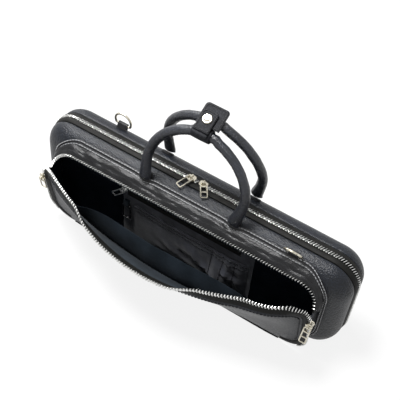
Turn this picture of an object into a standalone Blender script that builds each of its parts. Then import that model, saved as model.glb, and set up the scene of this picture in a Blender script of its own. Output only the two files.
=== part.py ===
"""Zip-around flute case with an open front pocket, two rolled handles and a snap grip.

The case stands on its long edge: X runs along it, Z is up, and the pocket faces -Y.
The plane y = 0 is the parting plane of the two shells, where the main zip runs.
"""
import math

import bmesh
import bpy
from mathutils import Vector

# Driving sizes, in metres
CASE_LENGTH = 0.430       # over the main zip, end to end
CASE_HEIGHT = 0.1385      # over the main zip, standing
CASE_CORNER = 0.0365      # corner radius of the zip line
SHELL_DEPTH = 0.032       # parting plane to outer face, each half
SHOULDER = 0.022          # roll-over radius at the top and ends of a shell
FOOT_RADIUS = 0.014       # tighter roll-over where the case stands
SHELL_WALL = 0.003
BAND_HALF = 0.0095        # parting plane to the shell rim
BAND_CROWN = 0.0016       # the zip band stands proud of the rim by this
BAND_THICK = 0.0016
TEETH_PITCH = 0.006
TEETH_SWING = 0.0008      # half height of the zigzag where the rows mesh
TEETH_TALL = 0.0030       # across the row, square to the band
NECK_CLEAR_SHARE = 0.5    # how far the tips draw back round a slider's neck
TEETH_START_SHARE = 0.25  # how far round the lower corners the rows start
ROW_BACK = 0.0017         # far side of a row of teeth from the parting line
GAP = 0.0003              # clearance between pieces that touch

INSERT_FACE = 0.002       # insert's face behind the parting plane
LINING_FACE = 0.013       # lid lining's face in front of the parting plane
LINING_EDGE = 0.006
BODY_CHANNEL = (0.338, 0.0165)    # length and radius of each channel
HEAD_CHANNEL = (0.218, 0.0140)
FOOT_CHANNEL = (0.140, 0.0155)
ROD_CHANNEL = (0.330, 0.0055)
CHANNEL_EDGE = 0.012      # insert left standing above, below and between channels
CHANNEL_SET = 0.003       # channel axes in front of the insert's face

POCKET_FROM_ENDS = 0.027  # the case's ends to the pocket's base seam
POCKET_UNDER_TOP = 0.0095
POCKET_HALF = CASE_LENGTH / 2 - POCKET_FROM_ENDS
POCKET_TOP = CASE_HEIGHT - POCKET_UNDER_TOP
POCKET_FOOT = 0.006
POCKET_CORNER = 0.033
POCKET_DEEP = 0.050       # foot of the front panel in front of the parting plane
PANEL_SHORT = 0.0075      # the leaning panel is this much shorter than the base seam is tall
PANEL_TALL = POCKET_TOP - POCKET_FOOT - PANEL_SHORT
PANEL_THICK = 0.0018
LEAN_ENDS = math.radians(8.5)
LEAN_EXTRA = math.radians(28.2)   # further lean of the panel's middle
LEAN_STOP = 0.008         # the lean has died away this far from the panel's ends
LEAN_SPAN = POCKET_HALF - LEAN_STOP
POCKET_BAND = 0.0085      # zip band round the panel
POCKET_ROW = 0.0012       # half width of a pocket row of teeth
CHAIN_DIP_SHARE = 0.7     # dips between the teeth of the closed chains
SLIDER_HEIGHT = 0.080     # up the panel's ends, where the pocket sliders stand
GUSSET_THICK = 0.0016
MOUTH_UNDER_SEAM = 0.009  # back edge of the open mouth, from the base seam
MOUTH_FROM_SEAM = 0.0025
MOUTH_TOP = POCKET_TOP - MOUTH_UNDER_SEAM
MOUTH_HALF = POCKET_HALF - MOUTH_FROM_SEAM
MOUTH_OUT = 0.0420
MOUTH_CORNER = 0.030
PIPING = 0.0008           # radius of the piping over the base seam
PIPING_SET = 0.0018       # piping's middle outside the base seam
GUSSET_BELLY = 0.0024
LINING_THIN = 0.0008

TUBE = 0.006              # radius of a rolled handle
TUBE_BASE = 0.0078        # half width of its flared end
KNUCKLE = 0.0052          # rolled foot of a handle, round its hinge line
HANDLE_HALF = 0.061       # centre to the foot of a handle
HANDLE_RISE = 0.0938
HANDLE_SEAT = 0.0225      # the tab's middle in front of, or behind, the parting plane
HANDLE_IN = 0.0192        # how far the front handle's top leans in
HANDLE_BOW = 0.0065       # how far a handle bows out past its feet
TAB_THICK = 0.0012
TAB_LONG = 0.016
TAB_HIGH = 0.0065         # handle tab above and below its handle's foot
TAB_LOW = 0.0025

GRIP_WIDE = 0.024
GRIP_FLAT = 0.0135        # half length of the straight stretch of tube in the grip
GRIP_THICK = 0.0018
FLAP_WIDE = 0.019
FLAP_LONG = 0.0245
SADDLE_END = 0.033        # free end of the saddle plate from the front handle's axis
GRIP_TILT = math.radians(25.0)
HANDLES_APART = 0.0172    # between the two tubes at the grip
GRIP_ROOT = 0.0023        # radius of the roll that the flap folds from
SNAP_AT_SHARE = 0.78      # snap's place between the tubes
FLAP_SWING_ROOM = 0.0002
SNAP_RADIUS = 0.0058
SNAP_TALL = 0.0024
STUD_RADIUS = 0.0040
STUD_TALL = 0.0006

RING_WIRE = 0.0014
RING_RADIUS = 0.0115
RING_RISE = 0.0055        # arc centre above the straight bar
RING_TAB = 0.013
BACK_RING_FROM_END = 0.086               # left end of the case to the back ring
FRONT_RING_FROM_END = 0.077              # right end to the front one
BACK_RING = (BACK_RING_FROM_END - CASE_LENGTH / 2, 0.0215, 0.0060)     # along X, seat, stalk up to the bar
FRONT_RING = (CASE_LENGTH / 2 - FRONT_RING_FROM_END, 0.0216, 0.0034)

SLIDER_LONG = 0.0105
SLIDER_WIDE = 0.0090
SLIDER_PLATE = 0.0011
SLIDER_ROOM = 0.0042      # between the slider's plates
SLIDER_LIP = 0.0009
SLIDER_DROP = 0.0006      # slider's middle under the zip line
NECK_NEAR_SHARE = 0.22    # the neck's ends along the slider
NECK_FAR_SHARE = 0.46
BAIL_TALL = 0.0040
BAIL_WIDE = 0.0052        # across its two posts
BAIL_THICK = 0.0009
BAIL_DEEP = 0.0016
PIVOT_RISE = 0.0019       # pull's crossbar above the slider's top plate
PULL_WIDE = 0.0090
PULL_LONG = 0.0210
PULL_THICK = 0.0012
PULL_RIM = 0.0014
PULL_EYE = 0.0042         # length of the eye that swings round the bail
PULL_CORNER = 0.0010
MAIN_LEFT_AT = -0.0125
MAIN_RIGHT_AT = 0.0035
LEFT_PULL_TURN = math.radians(23.0)      # each main pull's turn away from -Y
RIGHT_PULL_TURN = math.radians(-35.0)
PULL_SLOPE = math.radians(11.0)
POCKET_PULL_OUT = math.radians(25.0)     # right pocket pull's lean away from hanging plumb

INNER_ZIP_UNDER = 0.0245  # inner zip on the pocket's back wall, under the base seam
INNER_ZIP_AT = POCKET_TOP - INNER_ZIP_UNDER
INNER_ZIP_HALF = 0.080
INNER_TAPE = 0.009
INNER_SLIDER_AT = -0.084
INNER_PULL_LONG = 0.024
INNER_PULL_WIDE = 0.0075
INNER_PULL_TURN = math.radians(42.0)     # inner pull's turn away from hanging plumb
ORGANISER_LEFT = -0.070
ORGANISER_RIGHT = 0.092
ORGANISER_UNDER = 0.0265  # top edge under the inner zip
ORGANISER_TOP = INNER_ZIP_AT - ORGANISER_UNDER
ORGANISER_SET = 0.004
BULGE_AT_SHARE = 0.85     # where along the organiser it stands off most
ORGANISER_BULGE = 0.016   # how far the organiser's top edge stands off at its fullest
PEN_SLOTS = 3
PEN_SLOT_WIDE = 0.016
SLIP_HALF = 0.130
SLIP_UNDER = 0.0435       # top edge of the slip pocket under the panel's
SLIP_TOP = PANEL_TALL - SLIP_UNDER
SLIP_LEAN_SHARE = 0.42    # lean of the slip pocket's sheet as a share of the panel's
CLIP_AT = -0.081          # along X
CLIP_UNDER = 0.0285       # clip's hinge line under the inner zip
CLIP_TOP = INNER_ZIP_AT - CLIP_UNDER
CLIP_LONG = 0.024
CLIP_WIDE = 0.011
CLIP_WIRE = 0.0011
STRAP_LONG = 0.010
STRAP_WIDE = 0.007

ARCH_SHARE = 0.86         # squareness of the handle's arch
STRAIGHT_SHARE = 0.36     # straight foot of a handle, of its height
DOME_SHARES = (0.97, 0.8, 0.45)          # steps down to the end of a knuckle
TAB_SHARES = ((-0.5, 0.6), (-0.3, 1.0), (0.3, 1.0), (0.5, 0.6))    # place along a tab and its height there
CROWN_SHARES = ((0.65, 0.82), (1.0, 0.45))     # up a cap's crown and its radius there
SLIDER_SHARES = ((-0.50, -0.36), (0.10, -0.50), (0.38, -0.42), (0.50, -0.22))     # half of its plan
SMALL_SLIDER_SHARES = ((-0.40, -0.30), (0.10, -0.38), (0.40, -0.22))
NECK_THIN_SHARE = 0.4     # half thickness of the neck, of a plate's
LIP_AT_SHARE = 0.36       # lips across the slider
LIP_BACK_SHARE = 0.42     # lips' back ends along it
CORNER_STEPS = 5
ROUND_STEPS = 8


def material(name, colour, roughness, metallic=0.0):
    """One Principled finish."""
    made = bpy.data.materials.new(name)
    made.use_nodes = True
    shader = made.node_tree.nodes["Principled BSDF"]
    shader.inputs["Base Color"].default_value = (*colour, 1.0)
    shader.inputs["Roughness"].default_value = roughness
    shader.inputs["Metallic"].default_value = metallic
    made.diffuse_color = (*colour, 1.0)
    return made


FINISHES = {
    "leather": ((0.030, 0.030, 0.032), 0.42, 0.0),
    "leather_edge": ((0.018, 0.018, 0.020), 0.50, 0.0),
    "zip_tape": ((0.045, 0.045, 0.040), 0.60, 0.0),
    "teeth": ((0.62, 0.62, 0.60), 0.30, 1.0),
    "hardware": ((0.78, 0.72, 0.58), 0.22, 1.0),
    "dark_metal": ((0.16, 0.16, 0.17), 0.30, 1.0),
    "lining": ((0.010, 0.011, 0.014), 0.80, 0.0),
    "plush": ((0.020, 0.020, 0.024), 0.95, 0.0),
    "clip": ((0.012, 0.012, 0.013), 0.25, 0.0),
}


def add_object(name, mesh_bm, finish, origin=None):
    """Turn a bmesh into a named object, with its origin on its joint where it moves."""
    bmesh.ops.remove_doubles(mesh_bm, verts=mesh_bm.verts, dist=1e-7)
    bmesh.ops.recalc_face_normals(mesh_bm, faces=mesh_bm.faces)
    if origin is not None:
        bmesh.ops.translate(mesh_bm, verts=mesh_bm.verts, vec=-Vector(origin))
    mesh = bpy.data.meshes.new(name)
    mesh_bm.to_mesh(mesh)
    mesh_bm.free()
    made = bpy.data.objects.new(name, mesh)
    bpy.context.scene.collection.objects.link(made)
    if origin is not None:
        made.location = origin
    colour, roughness, metallic = FINISHES[finish]
    made.data.materials.append(material(name, colour, roughness, metallic))
    mesh.shade_smooth()
    mesh.set_sharp_from_angle(angle=math.radians(35.0))
    return made


def stack(into, loops, ring=False):
    """Skin a run of loops with as many points each. A ring closes on itself, else the ends are capped."""
    rows = [[into.verts.new(point) for point in loop] for loop in loops]
    pairs = list(zip(rows, rows[1:]))
    if ring:
        pairs.append((rows[-1], rows[0]))
    count = len(rows[0])
    for low, high in pairs:
        for i in range(count):
            j = (i + 1) % count
            into.faces.new((low[i], low[j], high[j], high[i]))
    if not ring:
        into.faces.new(list(reversed(rows[0])))
        into.faces.new(rows[-1])


def stacked(name, loops, finish, origin=None, ring=False, facets=False):
    """One object from one stack of loops. Twisted sheets are split into flat facets."""
    made = bmesh.new()
    stack(made, loops, ring)
    if facets:
        bmesh.ops.triangulate(made, faces=made.faces)
    return add_object(name, made, finish, origin)


def cut(target, cutter_mesh, name, operation="DIFFERENCE"):
    """Cut, or join, a hidden shape with the exact solver."""
    bmesh.ops.recalc_face_normals(cutter_mesh, faces=cutter_mesh.faces)
    mesh = bpy.data.meshes.new(name)
    cutter_mesh.to_mesh(mesh)
    cutter_mesh.free()
    cutter = bpy.data.objects.new(name, mesh)
    bpy.context.scene.collection.objects.link(cutter)
    cutter.location = target.location
    cutter.hide_render = True
    cutter.display_type = "WIRE"
    change = target.modifiers.new(name, "BOOLEAN")
    change.operation = operation
    change.solver = "EXACT"
    change.object = cutter


def join(target, loops, name):
    """Join one more stack of loops to an object."""
    piece = bmesh.new()
    stack(piece, loops)
    bmesh.ops.translate(piece, verts=piece.verts, vec=-target.location)
    cut(target, piece, name, "UNION")


def rounded_loop(half_x, low, high, radius, steps=CORNER_STEPS):
    """Closed rounded rectangle of (x, z) points, anticlockwise from the bottom right corner."""
    points = []
    corners = ((half_x - radius, low + radius, -math.pi / 2), (half_x - radius, high - radius, 0.0),
               (radius - half_x, high - radius, math.pi / 2), (radius - half_x, low + radius, math.pi))
    for x, z, start in corners:
        for i in range(steps + 1):
            turn = start + math.pi / 2 * i / steps
            points.append((x + radius * math.cos(turn), z + radius * math.sin(turn)))
    return points


class Outline:
    """Rounded frame walked from its bottom left tangent point, over the top, to the bottom right one."""

    def __init__(self, half_x, low, high, radius):
        self.radius = radius
        self.quarter = math.pi / 2 * radius
        self.rise = high - low - 2 * radius
        self.span = 2 * (half_x - radius)
        self.start = (radius - half_x, low)
        self.runs = [self.quarter, self.rise, self.quarter, self.span,
                     self.quarter, self.rise, self.quarter]
        self.length = sum(self.runs)
        self.side_start = self.quarter
        self.top_start = self.quarter * 2 + self.rise
        self.top_end = self.top_start + self.span

    def at(self, along):
        """Point and outward normal, as (x, z, nx, nz)."""
        x, z = self.start
        heading = math.pi
        for i, run in enumerate(self.runs):
            turning = i % 2 == 0
            step = min(along, run) if i < len(self.runs) - 1 else along
            if turning:
                centre_x = x + self.radius * math.sin(heading)
                centre_z = z - self.radius * math.cos(heading)
                heading -= step / self.radius
                x = centre_x - self.radius * math.sin(heading)
                z = centre_z + self.radius * math.cos(heading)
            else:
                x += step * math.cos(heading)
                z += step * math.sin(heading)
            along -= step
            if along <= 0.0:
                break
        return x, z, -math.sin(heading), math.cos(heading)

    def stations(self, first, last, straight_step=None):
        """Distances along the frame: every run's ends, with steps in the corners."""
        marks = []
        travelled = 0.0
        for i, run in enumerate(self.runs):
            steps = CORNER_STEPS if i % 2 == 0 else 1
            if i % 2 == 1 and straight_step:
                steps = max(1, round(run / straight_step))
            marks += [travelled + run * k / steps for k in range(steps)]
            travelled += run
        marks.append(travelled)
        least = GAP
        inside = [m for m in marks if first + least < m < last - least]
        return [first] + inside + [last]


def shell_inset(y, depth, turn):
    """How far a shell's outline has drawn in at a distance y from the parting plane."""
    reach = y - (depth - turn)
    if reach <= 0.0:
        return 0.0
    return turn - math.sqrt(max(turn * turn - reach * reach, 0.0))


def shell_loops(side, inner, first, steps=5):
    """Loops of a shell's outer or inner surface, from its rim to its face."""
    depth = SHELL_DEPTH - inner
    turn = SHOULDER - inner
    foot = FOOT_RADIUS - inner
    half_x = CASE_LENGTH / 2 - BAND_CROWN - inner
    high = CASE_HEIGHT - BAND_CROWN - inner
    corner = CASE_CORNER - BAND_CROWN - inner
    loops = []
    bend = depth - turn
    begin = math.asin(max(first - bend, 0.0) / turn)
    places = [bend + turn * math.sin(begin + (math.pi / 2 - begin) * k / steps) for k in range(steps + 1)]
    places[0] = first
    for y in places:
        drawn = shell_inset(y, depth, turn)
        lift = shell_inset(y, depth, foot)
        ring = rounded_loop(half_x - drawn, inner + lift, high - drawn, corner - drawn)
        loops.append([(x, side * y, z) for x, z in ring])
    return loops


def face_depth(x, z):
    """Distance from the parting plane to the front shell's outer surface at (x, z)."""
    half_x = CASE_LENGTH / 2 - BAND_CROWN
    high = CASE_HEIGHT - BAND_CROWN
    corner = CASE_CORNER - BAND_CROWN
    past_x = abs(x) - (half_x - corner)
    past_z = z - (high - corner)
    if past_x > 0.0 and past_z > 0.0:
        inside = corner - math.hypot(past_x, past_z)
    else:
        inside = min(half_x - abs(x), high - z)
    depth = SHELL_DEPTH
    if inside < SHOULDER:
        depth = SHELL_DEPTH - SHOULDER + math.sqrt(max(SHOULDER ** 2 - (SHOULDER - inside) ** 2, 0.0))
    if z < FOOT_RADIUS:
        foot = SHELL_DEPTH - FOOT_RADIUS + math.sqrt(max(FOOT_RADIUS ** 2 - (FOOT_RADIUS - z) ** 2, 0.0))
        depth = min(depth, foot)
    return depth


def shoulder_point(seat):
    """A point on the top shoulder at y = seat: its height and outward normal as (ny, nz)."""
    reach = seat - (SHELL_DEPTH - SHOULDER)
    rise = math.sqrt(SHOULDER ** 2 - reach ** 2)
    z = CASE_HEIGHT - BAND_CROWN - SHOULDER + rise
    return z, reach / SHOULDER, rise / SHOULDER


def make_shells():
    """The two moulded shells, leather outside, open at the parting plane."""
    for name, side in (("back_shell", 1), ("front_shell", -1)):
        outer = shell_loops(side, 0.0, BAND_HALF)
        inner = shell_loops(side, SHELL_WALL, BAND_HALF)
        stacked(name, inner[::-1] + outer, "leather", spine_axis() if side < 0 else None)


def spine_axis():
    """The line on which the two halves fold."""
    return (0.0, 0.0, BAND_THICK / 2)


def case_outline():
    return Outline(CASE_LENGTH / 2, 0.0, CASE_HEIGHT, CASE_CORNER)


def make_zip_bands():
    """Zip bands that close the shells up to the teeth, crowned towards the parting plane."""
    frame = case_outline()
    for name, side in (("back_zip_band", 1), ("front_zip_band", -1)):
        near = ROW_BACK + GAP
        far = BAND_HALF - GAP
        loops = []
        for along in frame.stations(0.0, frame.length):
            x, z, nx, nz = frame.at(along)
            loop = []
            for y, inset in ((near, GAP), (far, BAND_CROWN), (far, BAND_CROWN + BAND_THICK),
                             (near, GAP + BAND_THICK)):
                loop.append((x - nx * inset, side * y, z - nz * inset))
            loops.append(loop)
        stacked(name, loops, "zip_tape", spine_axis() if side < 0 else None)
    half_x = CASE_LENGTH / 2 - CASE_CORNER - GAP
    wide = BAND_HALF - GAP
    loops = [[(x, -wide, 0.0), (x, wide, 0.0), (x, wide, BAND_THICK), (x, -wide, BAND_THICK)]
             for x in (-half_x, half_x)]
    stacked("spine_strip", loops, "leather")


def zigzag_row(place, first, last, side, back, clear=()):
    """One row of meshing teeth. place(along, across, up) gives a point and side says which row it is.
    The tips draw back wherever along falls in a clear range."""
    steps = 2 * max(1, round((last - first) / TEETH_PITCH))
    marks = [(first + (last - first) * k / steps, TEETH_SWING * (1 if k % 2 else -1))
             for k in range(steps + 1)]
    for low, high in clear:
        marks = [mark for mark in marks if not low - GAP < mark[0] < high + GAP]
        marks += [(low - GAP, None), (low, None), (high, None), (high + GAP, None)]
    marks.sort(key=lambda mark: mark[0])
    loops = []
    for along, swing in marks:
        tip = side * (back * NECK_CLEAR_SHARE) if swing is None else swing + side * GAP
        loops.append([place(along, tip, TEETH_TALL / 2), place(along, side * back, TEETH_TALL / 2),
                      place(along, side * back, -TEETH_TALL / 2), place(along, tip, -TEETH_TALL / 2)])
    return loops


def make_main_teeth():
    """Two meshing rows round the left end, the top and the right end, parted at the sliders' necks."""
    frame = case_outline()
    start = frame.quarter * TEETH_START_SHARE
    middle = frame.length / 2
    near = SLIDER_LONG * NECK_NEAR_SHARE - GAP
    far = SLIDER_LONG * NECK_FAR_SHARE + GAP
    clear = ((middle + MAIN_LEFT_AT + near, middle + MAIN_LEFT_AT + far),
             (middle + MAIN_RIGHT_AT - far, middle + MAIN_RIGHT_AT - near))

    def place(along, across, up):
        x, z, nx, nz = frame.at(along)
        drop = up - SLIDER_DROP
        return x + nx * drop, across, z + nz * drop

    for name, side in (("back_zip_teeth", 1), ("front_zip_teeth", -1)):
        loops = zigzag_row(place, start, frame.length - start, side, ROW_BACK, clear)
        stacked(name, loops, "teeth", spine_axis() if side < 0 else None)


def bar(length, radius, centre, steps=ROUND_STEPS * 2):
    """A closed round bar along X."""
    x, y, z = centre
    loops = []
    for end in (-length / 2, length / 2):
        loops.append([(x + end, y + radius * math.cos(2 * math.pi * i / steps),
                       z + radius * math.sin(2 * math.pi * i / steps)) for i in range(steps)])
    return loops


def channel_layout():
    """Centres (x, z) and sizes of the insert's channels."""
    top = CASE_HEIGHT - BAND_CROWN - SHELL_WALL - CHANNEL_EDGE
    body_z = top - BODY_CHANNEL[1]
    rod_z = body_z - BODY_CHANNEL[1] - CHANNEL_EDGE / 2 - ROD_CHANNEL[1]
    low_z = rod_z - ROD_CHANNEL[1] - CHANNEL_EDGE / 2 - FOOT_CHANNEL[1]
    total = HEAD_CHANNEL[0] + CHANNEL_EDGE + FOOT_CHANNEL[0]
    head_x = -total / 2 + HEAD_CHANNEL[0] / 2
    foot_x = total / 2 - FOOT_CHANNEL[0] / 2
    return ((0.0, body_z, BODY_CHANNEL), (0.0, rod_z, ROD_CHANNEL),
            (head_x, low_z, HEAD_CHANNEL), (foot_x, low_z, FOOT_CHANNEL))


def make_insert():
    """Plush moulded insert that fills the back shell, with a channel for each joint and the rod."""
    loops = shell_loops(1, SHELL_WALL + GAP, BAND_HALF)
    half_x = CASE_LENGTH / 2 - BAND_CROWN - SHELL_WALL - 2 * GAP - BAND_THICK
    low = SHELL_WALL + 2 * GAP
    high = CASE_HEIGHT - BAND_CROWN - SHELL_WALL - 2 * GAP - BAND_THICK
    corner = CASE_CORNER - BAND_CROWN - SHELL_WALL - BAND_THICK
    face = [(x, INSERT_FACE, z) for x, z in rounded_loop(half_x, low, high, corner)]
    insert = stacked("flute_insert", [face] + loops, "plush")
    for k, (x, z, (length, radius)) in enumerate(channel_layout()):
        cutter = bmesh.new()
        stack(cutter, bar(length, radius, (x, INSERT_FACE - CHANNEL_SET, z)))
        cut(insert, cutter, "channel_cutter_%d" % k)


def make_lid_lining():
    """Padded lining of the front shell."""
    loops = shell_loops(-1, SHELL_WALL + GAP, LINING_FACE + LINING_EDGE)
    inner = SHELL_WALL + GAP
    half_x = CASE_LENGTH / 2 - BAND_CROWN - inner - LINING_EDGE
    high = CASE_HEIGHT - BAND_CROWN - inner - LINING_EDGE
    corner = CASE_CORNER - BAND_CROWN - inner - LINING_EDGE
    face = [(x, -LINING_FACE, z) for x, z in rounded_loop(half_x, inner + LINING_EDGE, high, corner)]
    stacked("lid_lining", [face] + loops, "plush", spine_axis())


def lean(x):
    """Lean of the pocket's front panel at x: it bulges most in the middle."""
    return LEAN_ENDS + LEAN_EXTRA * math.cos(math.pi / 2 * min(abs(x) / LEAN_SPAN, 1.0))


def panel_axis():
    return (0.0, -POCKET_DEEP, POCKET_FOOT)


def on_panel(x, up, lift=0.0, share=1.0):
    """A point at height up along the leaning panel, lifted off its middle surface towards -Y."""
    angle = lean(x) * share
    y = -POCKET_DEEP - up * math.sin(angle) - lift * math.cos(angle)
    z = POCKET_FOOT + up * math.cos(angle) - lift * math.sin(angle)
    return x, y, z


def cutback(x, half_x, radius):
    """How far a rounded corner has cut a side back at x."""
    past = abs(x) - (half_x - radius)
    return radius - math.sqrt(max(radius ** 2 - past ** 2, 0.0)) if past > 0.0 else 0.0


def band_end():
    """Distance along X from the middle to where the zip band's ends stand in the lower corners."""
    return POCKET_HALF - POCKET_CORNER + (POCKET_CORNER - POCKET_BAND) * math.sin(math.pi / 4)


def panel_columns(half_x, radius, spans):
    """X stations of the front panel, closer in its corners and doubled at the band's ends."""
    flat = half_x - radius
    left = [-flat - radius * math.cos(math.pi / 2 * k / CORNER_STEPS) for k in range(CORNER_STEPS)]
    left = sorted(left + [-band_end() + GAP, -band_end() + 3 * GAP])
    middle = [-flat + 2 * flat * k / spans for k in range(spans + 1)]
    return left + middle + [-x for x in reversed(left)]


def make_front_panel():
    """Stiffened leather front of the pocket, open and bulging."""
    half_x = POCKET_HALF - POCKET_BAND - GAP
    high = PANEL_TALL - POCKET_BAND - GAP
    radius = POCKET_CORNER - POCKET_BAND
    rows = 3
    loops = []
    for x in panel_columns(half_x, radius, 12):
        high_up = high - cutback(x, half_x, radius)
        low_up = cutback(x, POCKET_HALF, POCKET_CORNER)
        if abs(x) > band_end() - 2 * GAP:
            low_up = POCKET_BAND + 4 * GAP + cutback(x, half_x, radius)
        ups = [low_up + (high_up - low_up) * k / rows for k in range(rows + 1)]
        loop = [on_panel(x, up, PANEL_THICK / 2) for up in ups]
        loop += [on_panel(x, up, -PANEL_THICK / 2) for up in reversed(ups)]
        loops.append(loop)
    stacked("pocket_front_panel", loops, "leather", panel_axis())


def panel_outline():
    """The panel's zip edge, in (x, up) on the leaning surface."""
    return Outline(POCKET_HALF, 0.0, PANEL_TALL, POCKET_CORNER)


def make_front_band():
    """Zip band round the front panel, from one lower corner over the top to the other."""
    frame = panel_outline()
    loops = []
    for along in frame.stations(frame.quarter / 2, frame.length - frame.quarter / 2, LEAN_SPAN / 6):
        x, up, nx, nup = frame.at(along)
        edge = POCKET_ROW + GAP
        inner = POCKET_BAND
        loop = []
        for inset, lift in ((edge, BAND_THICK / 2), (inner, BAND_THICK / 2),
                            (inner, -BAND_THICK / 2), (edge, -BAND_THICK / 2)):
            loop.append(on_panel(x - nx * inset, up - nup * inset, lift))
        loops.append(loop)
    stacked("pocket_front_band", loops, "zip_tape", panel_axis())


def slider_marks():
    """Distances along the panel's zip edge where the two pocket sliders stand."""
    frame = panel_outline()
    left = frame.side_start + SLIDER_HEIGHT - POCKET_CORNER
    return left, frame.length - left


def make_pocket_teeth():
    """The front row round the open mouth and the closed rows down both ends."""
    frame = panel_outline()
    left, right = slider_marks()
    clear = SLIDER_LONG / 2 + GAP

    def place(along, across, lift):
        x, up, nx, nup = frame.at(along)
        return on_panel(x - nx * across, up - nup * across, lift)

    loops = zigzag_row(place, left + clear, right - clear, 1, POCKET_ROW)
    stacked("pocket_front_teeth", loops, "teeth", panel_axis())
    first = frame.quarter / 2
    for name, start, end in (("pocket_chain_left", first, left - clear),
                             ("pocket_chain_right", right + clear, frame.length - first)):
        steps = round((end - start) / TEETH_PITCH * 2)
        loops = []
        for k in range(steps + 1):
            along = start + (end - start) * k / steps
            tall = TEETH_TALL / 2 * (1.0 if k % 2 else CHAIN_DIP_SHARE)
            corners = ((-POCKET_ROW, tall), (POCKET_ROW, tall), (POCKET_ROW, -tall), (-POCKET_ROW, -tall))
            loops.append([place(along, across, lift) for across, lift in corners])
        stacked(name, loops, "teeth", panel_axis())


def base_outline():
    return Outline(POCKET_HALF, POCKET_FOOT, POCKET_TOP, POCKET_CORNER)


def mouth_outline():
    return Outline(MOUTH_HALF, POCKET_FOOT, MOUTH_TOP, MOUTH_CORNER)


def mouth_depth(x, z):
    """How far the mouth's back edge stands in front of the parting plane."""
    low = POCKET_FOOT + SLIDER_HEIGHT
    share = min(max((MOUTH_TOP - z) / (MOUTH_TOP - low), 0.0), 1.0)
    sliders_out = -on_panel(POCKET_HALF, SLIDER_HEIGHT)[1]
    return MOUTH_OUT + (sliders_out - MOUTH_OUT) * share ** 2


def gusset_low():
    """Height at which the gusset's ends stop, just over the pocket sliders."""
    return on_panel(POCKET_HALF, SLIDER_HEIGHT + SLIDER_LONG / 2 + 2 * PANEL_THICK)[2]


def mouth_path():
    """Matching stations (x, z, nx, nz) on the base seam and on the mouth's back edge."""
    base, mouth = base_outline(), mouth_outline()
    low = gusset_low()
    base_first = base.side_start + low - POCKET_FOOT - POCKET_CORNER
    mouth_first = mouth.side_start + low - POCKET_FOOT - MOUTH_CORNER
    spans = 12
    corner = 8
    pairs = []
    marks = []
    for k in range(corner + 1):
        share = k / corner
        marks.append((base_first + (base.top_start - base_first) * share,
                      mouth_first + (mouth.top_start - mouth_first) * share))
    for k in range(1, spans):
        marks.append((base.top_start + base.span * k / spans, mouth.top_start + mouth.span * k / spans))
    for base_at, mouth_at in reversed(marks[:corner + 1]):
        marks.append((base.length - base_at, mouth.length - mouth_at))
    for base_at, mouth_at in marks:
        pairs.append((base.at(base_at), mouth.at(mouth_at)))
    return pairs


def make_gusset():
    """Soft strip from the base seam to the mouth's back edge, with its row of teeth."""
    loops = []
    for k, ((bx, bz, bnx, bnz), (mx, mz, mnx, mnz)) in enumerate(mouth_path()):
        seat = (bx, -face_depth(bx, bz) - GAP, bz)
        out = mouth_depth(mx, mz)
        edge = (mx, 2 * GAP + POCKET_ROW - out, mz)
        middle = ((bx + mx) / 2 + bnx * GUSSET_BELLY, (seat[1] + edge[1]) / 2,
                  (bz + mz) / 2 + bnz * GUSSET_BELLY)
        loop = [seat, middle, edge]
        for x, y, z in (edge, middle, seat):
            loop.append((x - bnx * GUSSET_THICK, y, z - bnz * GUSSET_THICK))
        loop[5] = (loop[5][0], -face_depth(loop[5][0], loop[5][2]) - GAP, loop[5][2])
        loops.append(loop)
    stacked("pocket_gusset", loops, "leather", spine_axis())
    mouth = mouth_outline()
    low = gusset_low()
    first = mouth.side_start + low - POCKET_FOOT - MOUTH_CORNER

    def place(along, across, lift):
        x, z, nx, nz = mouth.at(along)
        raised = lift - GUSSET_THICK / 2
        return x + nx * raised, across - mouth_depth(x, z), z + nz * raised

    rows = zigzag_row(place, first, mouth.length - first, 1, POCKET_ROW)
    stacked("pocket_back_teeth", rows, "teeth", spine_axis())


def make_side_folds():
    """Folded ends of the gusset, from the shell to the closed teeth, with their lower corners."""
    top = on_panel(POCKET_HALF, SLIDER_HEIGHT - SLIDER_LONG / 2 - 2 * PANEL_THICK)[2]
    base = Outline(POCKET_HALF - GUSSET_THICK, POCKET_FOOT + GUSSET_THICK, POCKET_TOP, POCKET_CORNER)
    last = base.side_start + top - POCKET_FOOT - GUSSET_THICK - POCKET_CORNER
    for word, side in (("left", -1), ("right", 1)):
        loops = []
        for k in range(9):
            along = last * k / 8
            x, z, nx, nz = base.at(along)
            if side > 0:
                x, nx = -x, -nx
            seat = -face_depth(x, z + GUSSET_THICK) - GAP
            up = z - POCKET_FOOT
            panel_y = on_panel(x, up)[1]
            near = panel_y + GAP + TEETH_TALL / 2
            fold = GUSSET_THICK * 3 * math.sin(math.pi * k / 8)
            middle = ((x - nx * fold), (seat + near) / 2, z - nz * fold)
            loop = [(x, seat, z), middle, (x, near, z)]
            for px, py, pz in reversed(list(loop)):
                loop.append((px - nx * GUSSET_THICK, py, pz - nz * GUSSET_THICK))
            loops.append(loop)
        stacked("pocket_fold_" + word, loops, "leather", spine_axis())
    half_x = POCKET_HALF - GUSSET_THICK - POCKET_CORNER - GAP
    near = POCKET_DEEP - PANEL_THICK / 2 - GAP
    low = POCKET_FOOT + GAP
    loops = []
    for x in (-half_x, half_x):
        loops.append([(x, -face_depth(x, low) - GAP, low), (x, -near, low), (x, -near, low + GUSSET_THICK),
                      (x, -face_depth(x, low + GUSSET_THICK) - GAP, low + GUSSET_THICK)])
    stacked("pocket_floor", loops, "leather", spine_axis())


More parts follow.
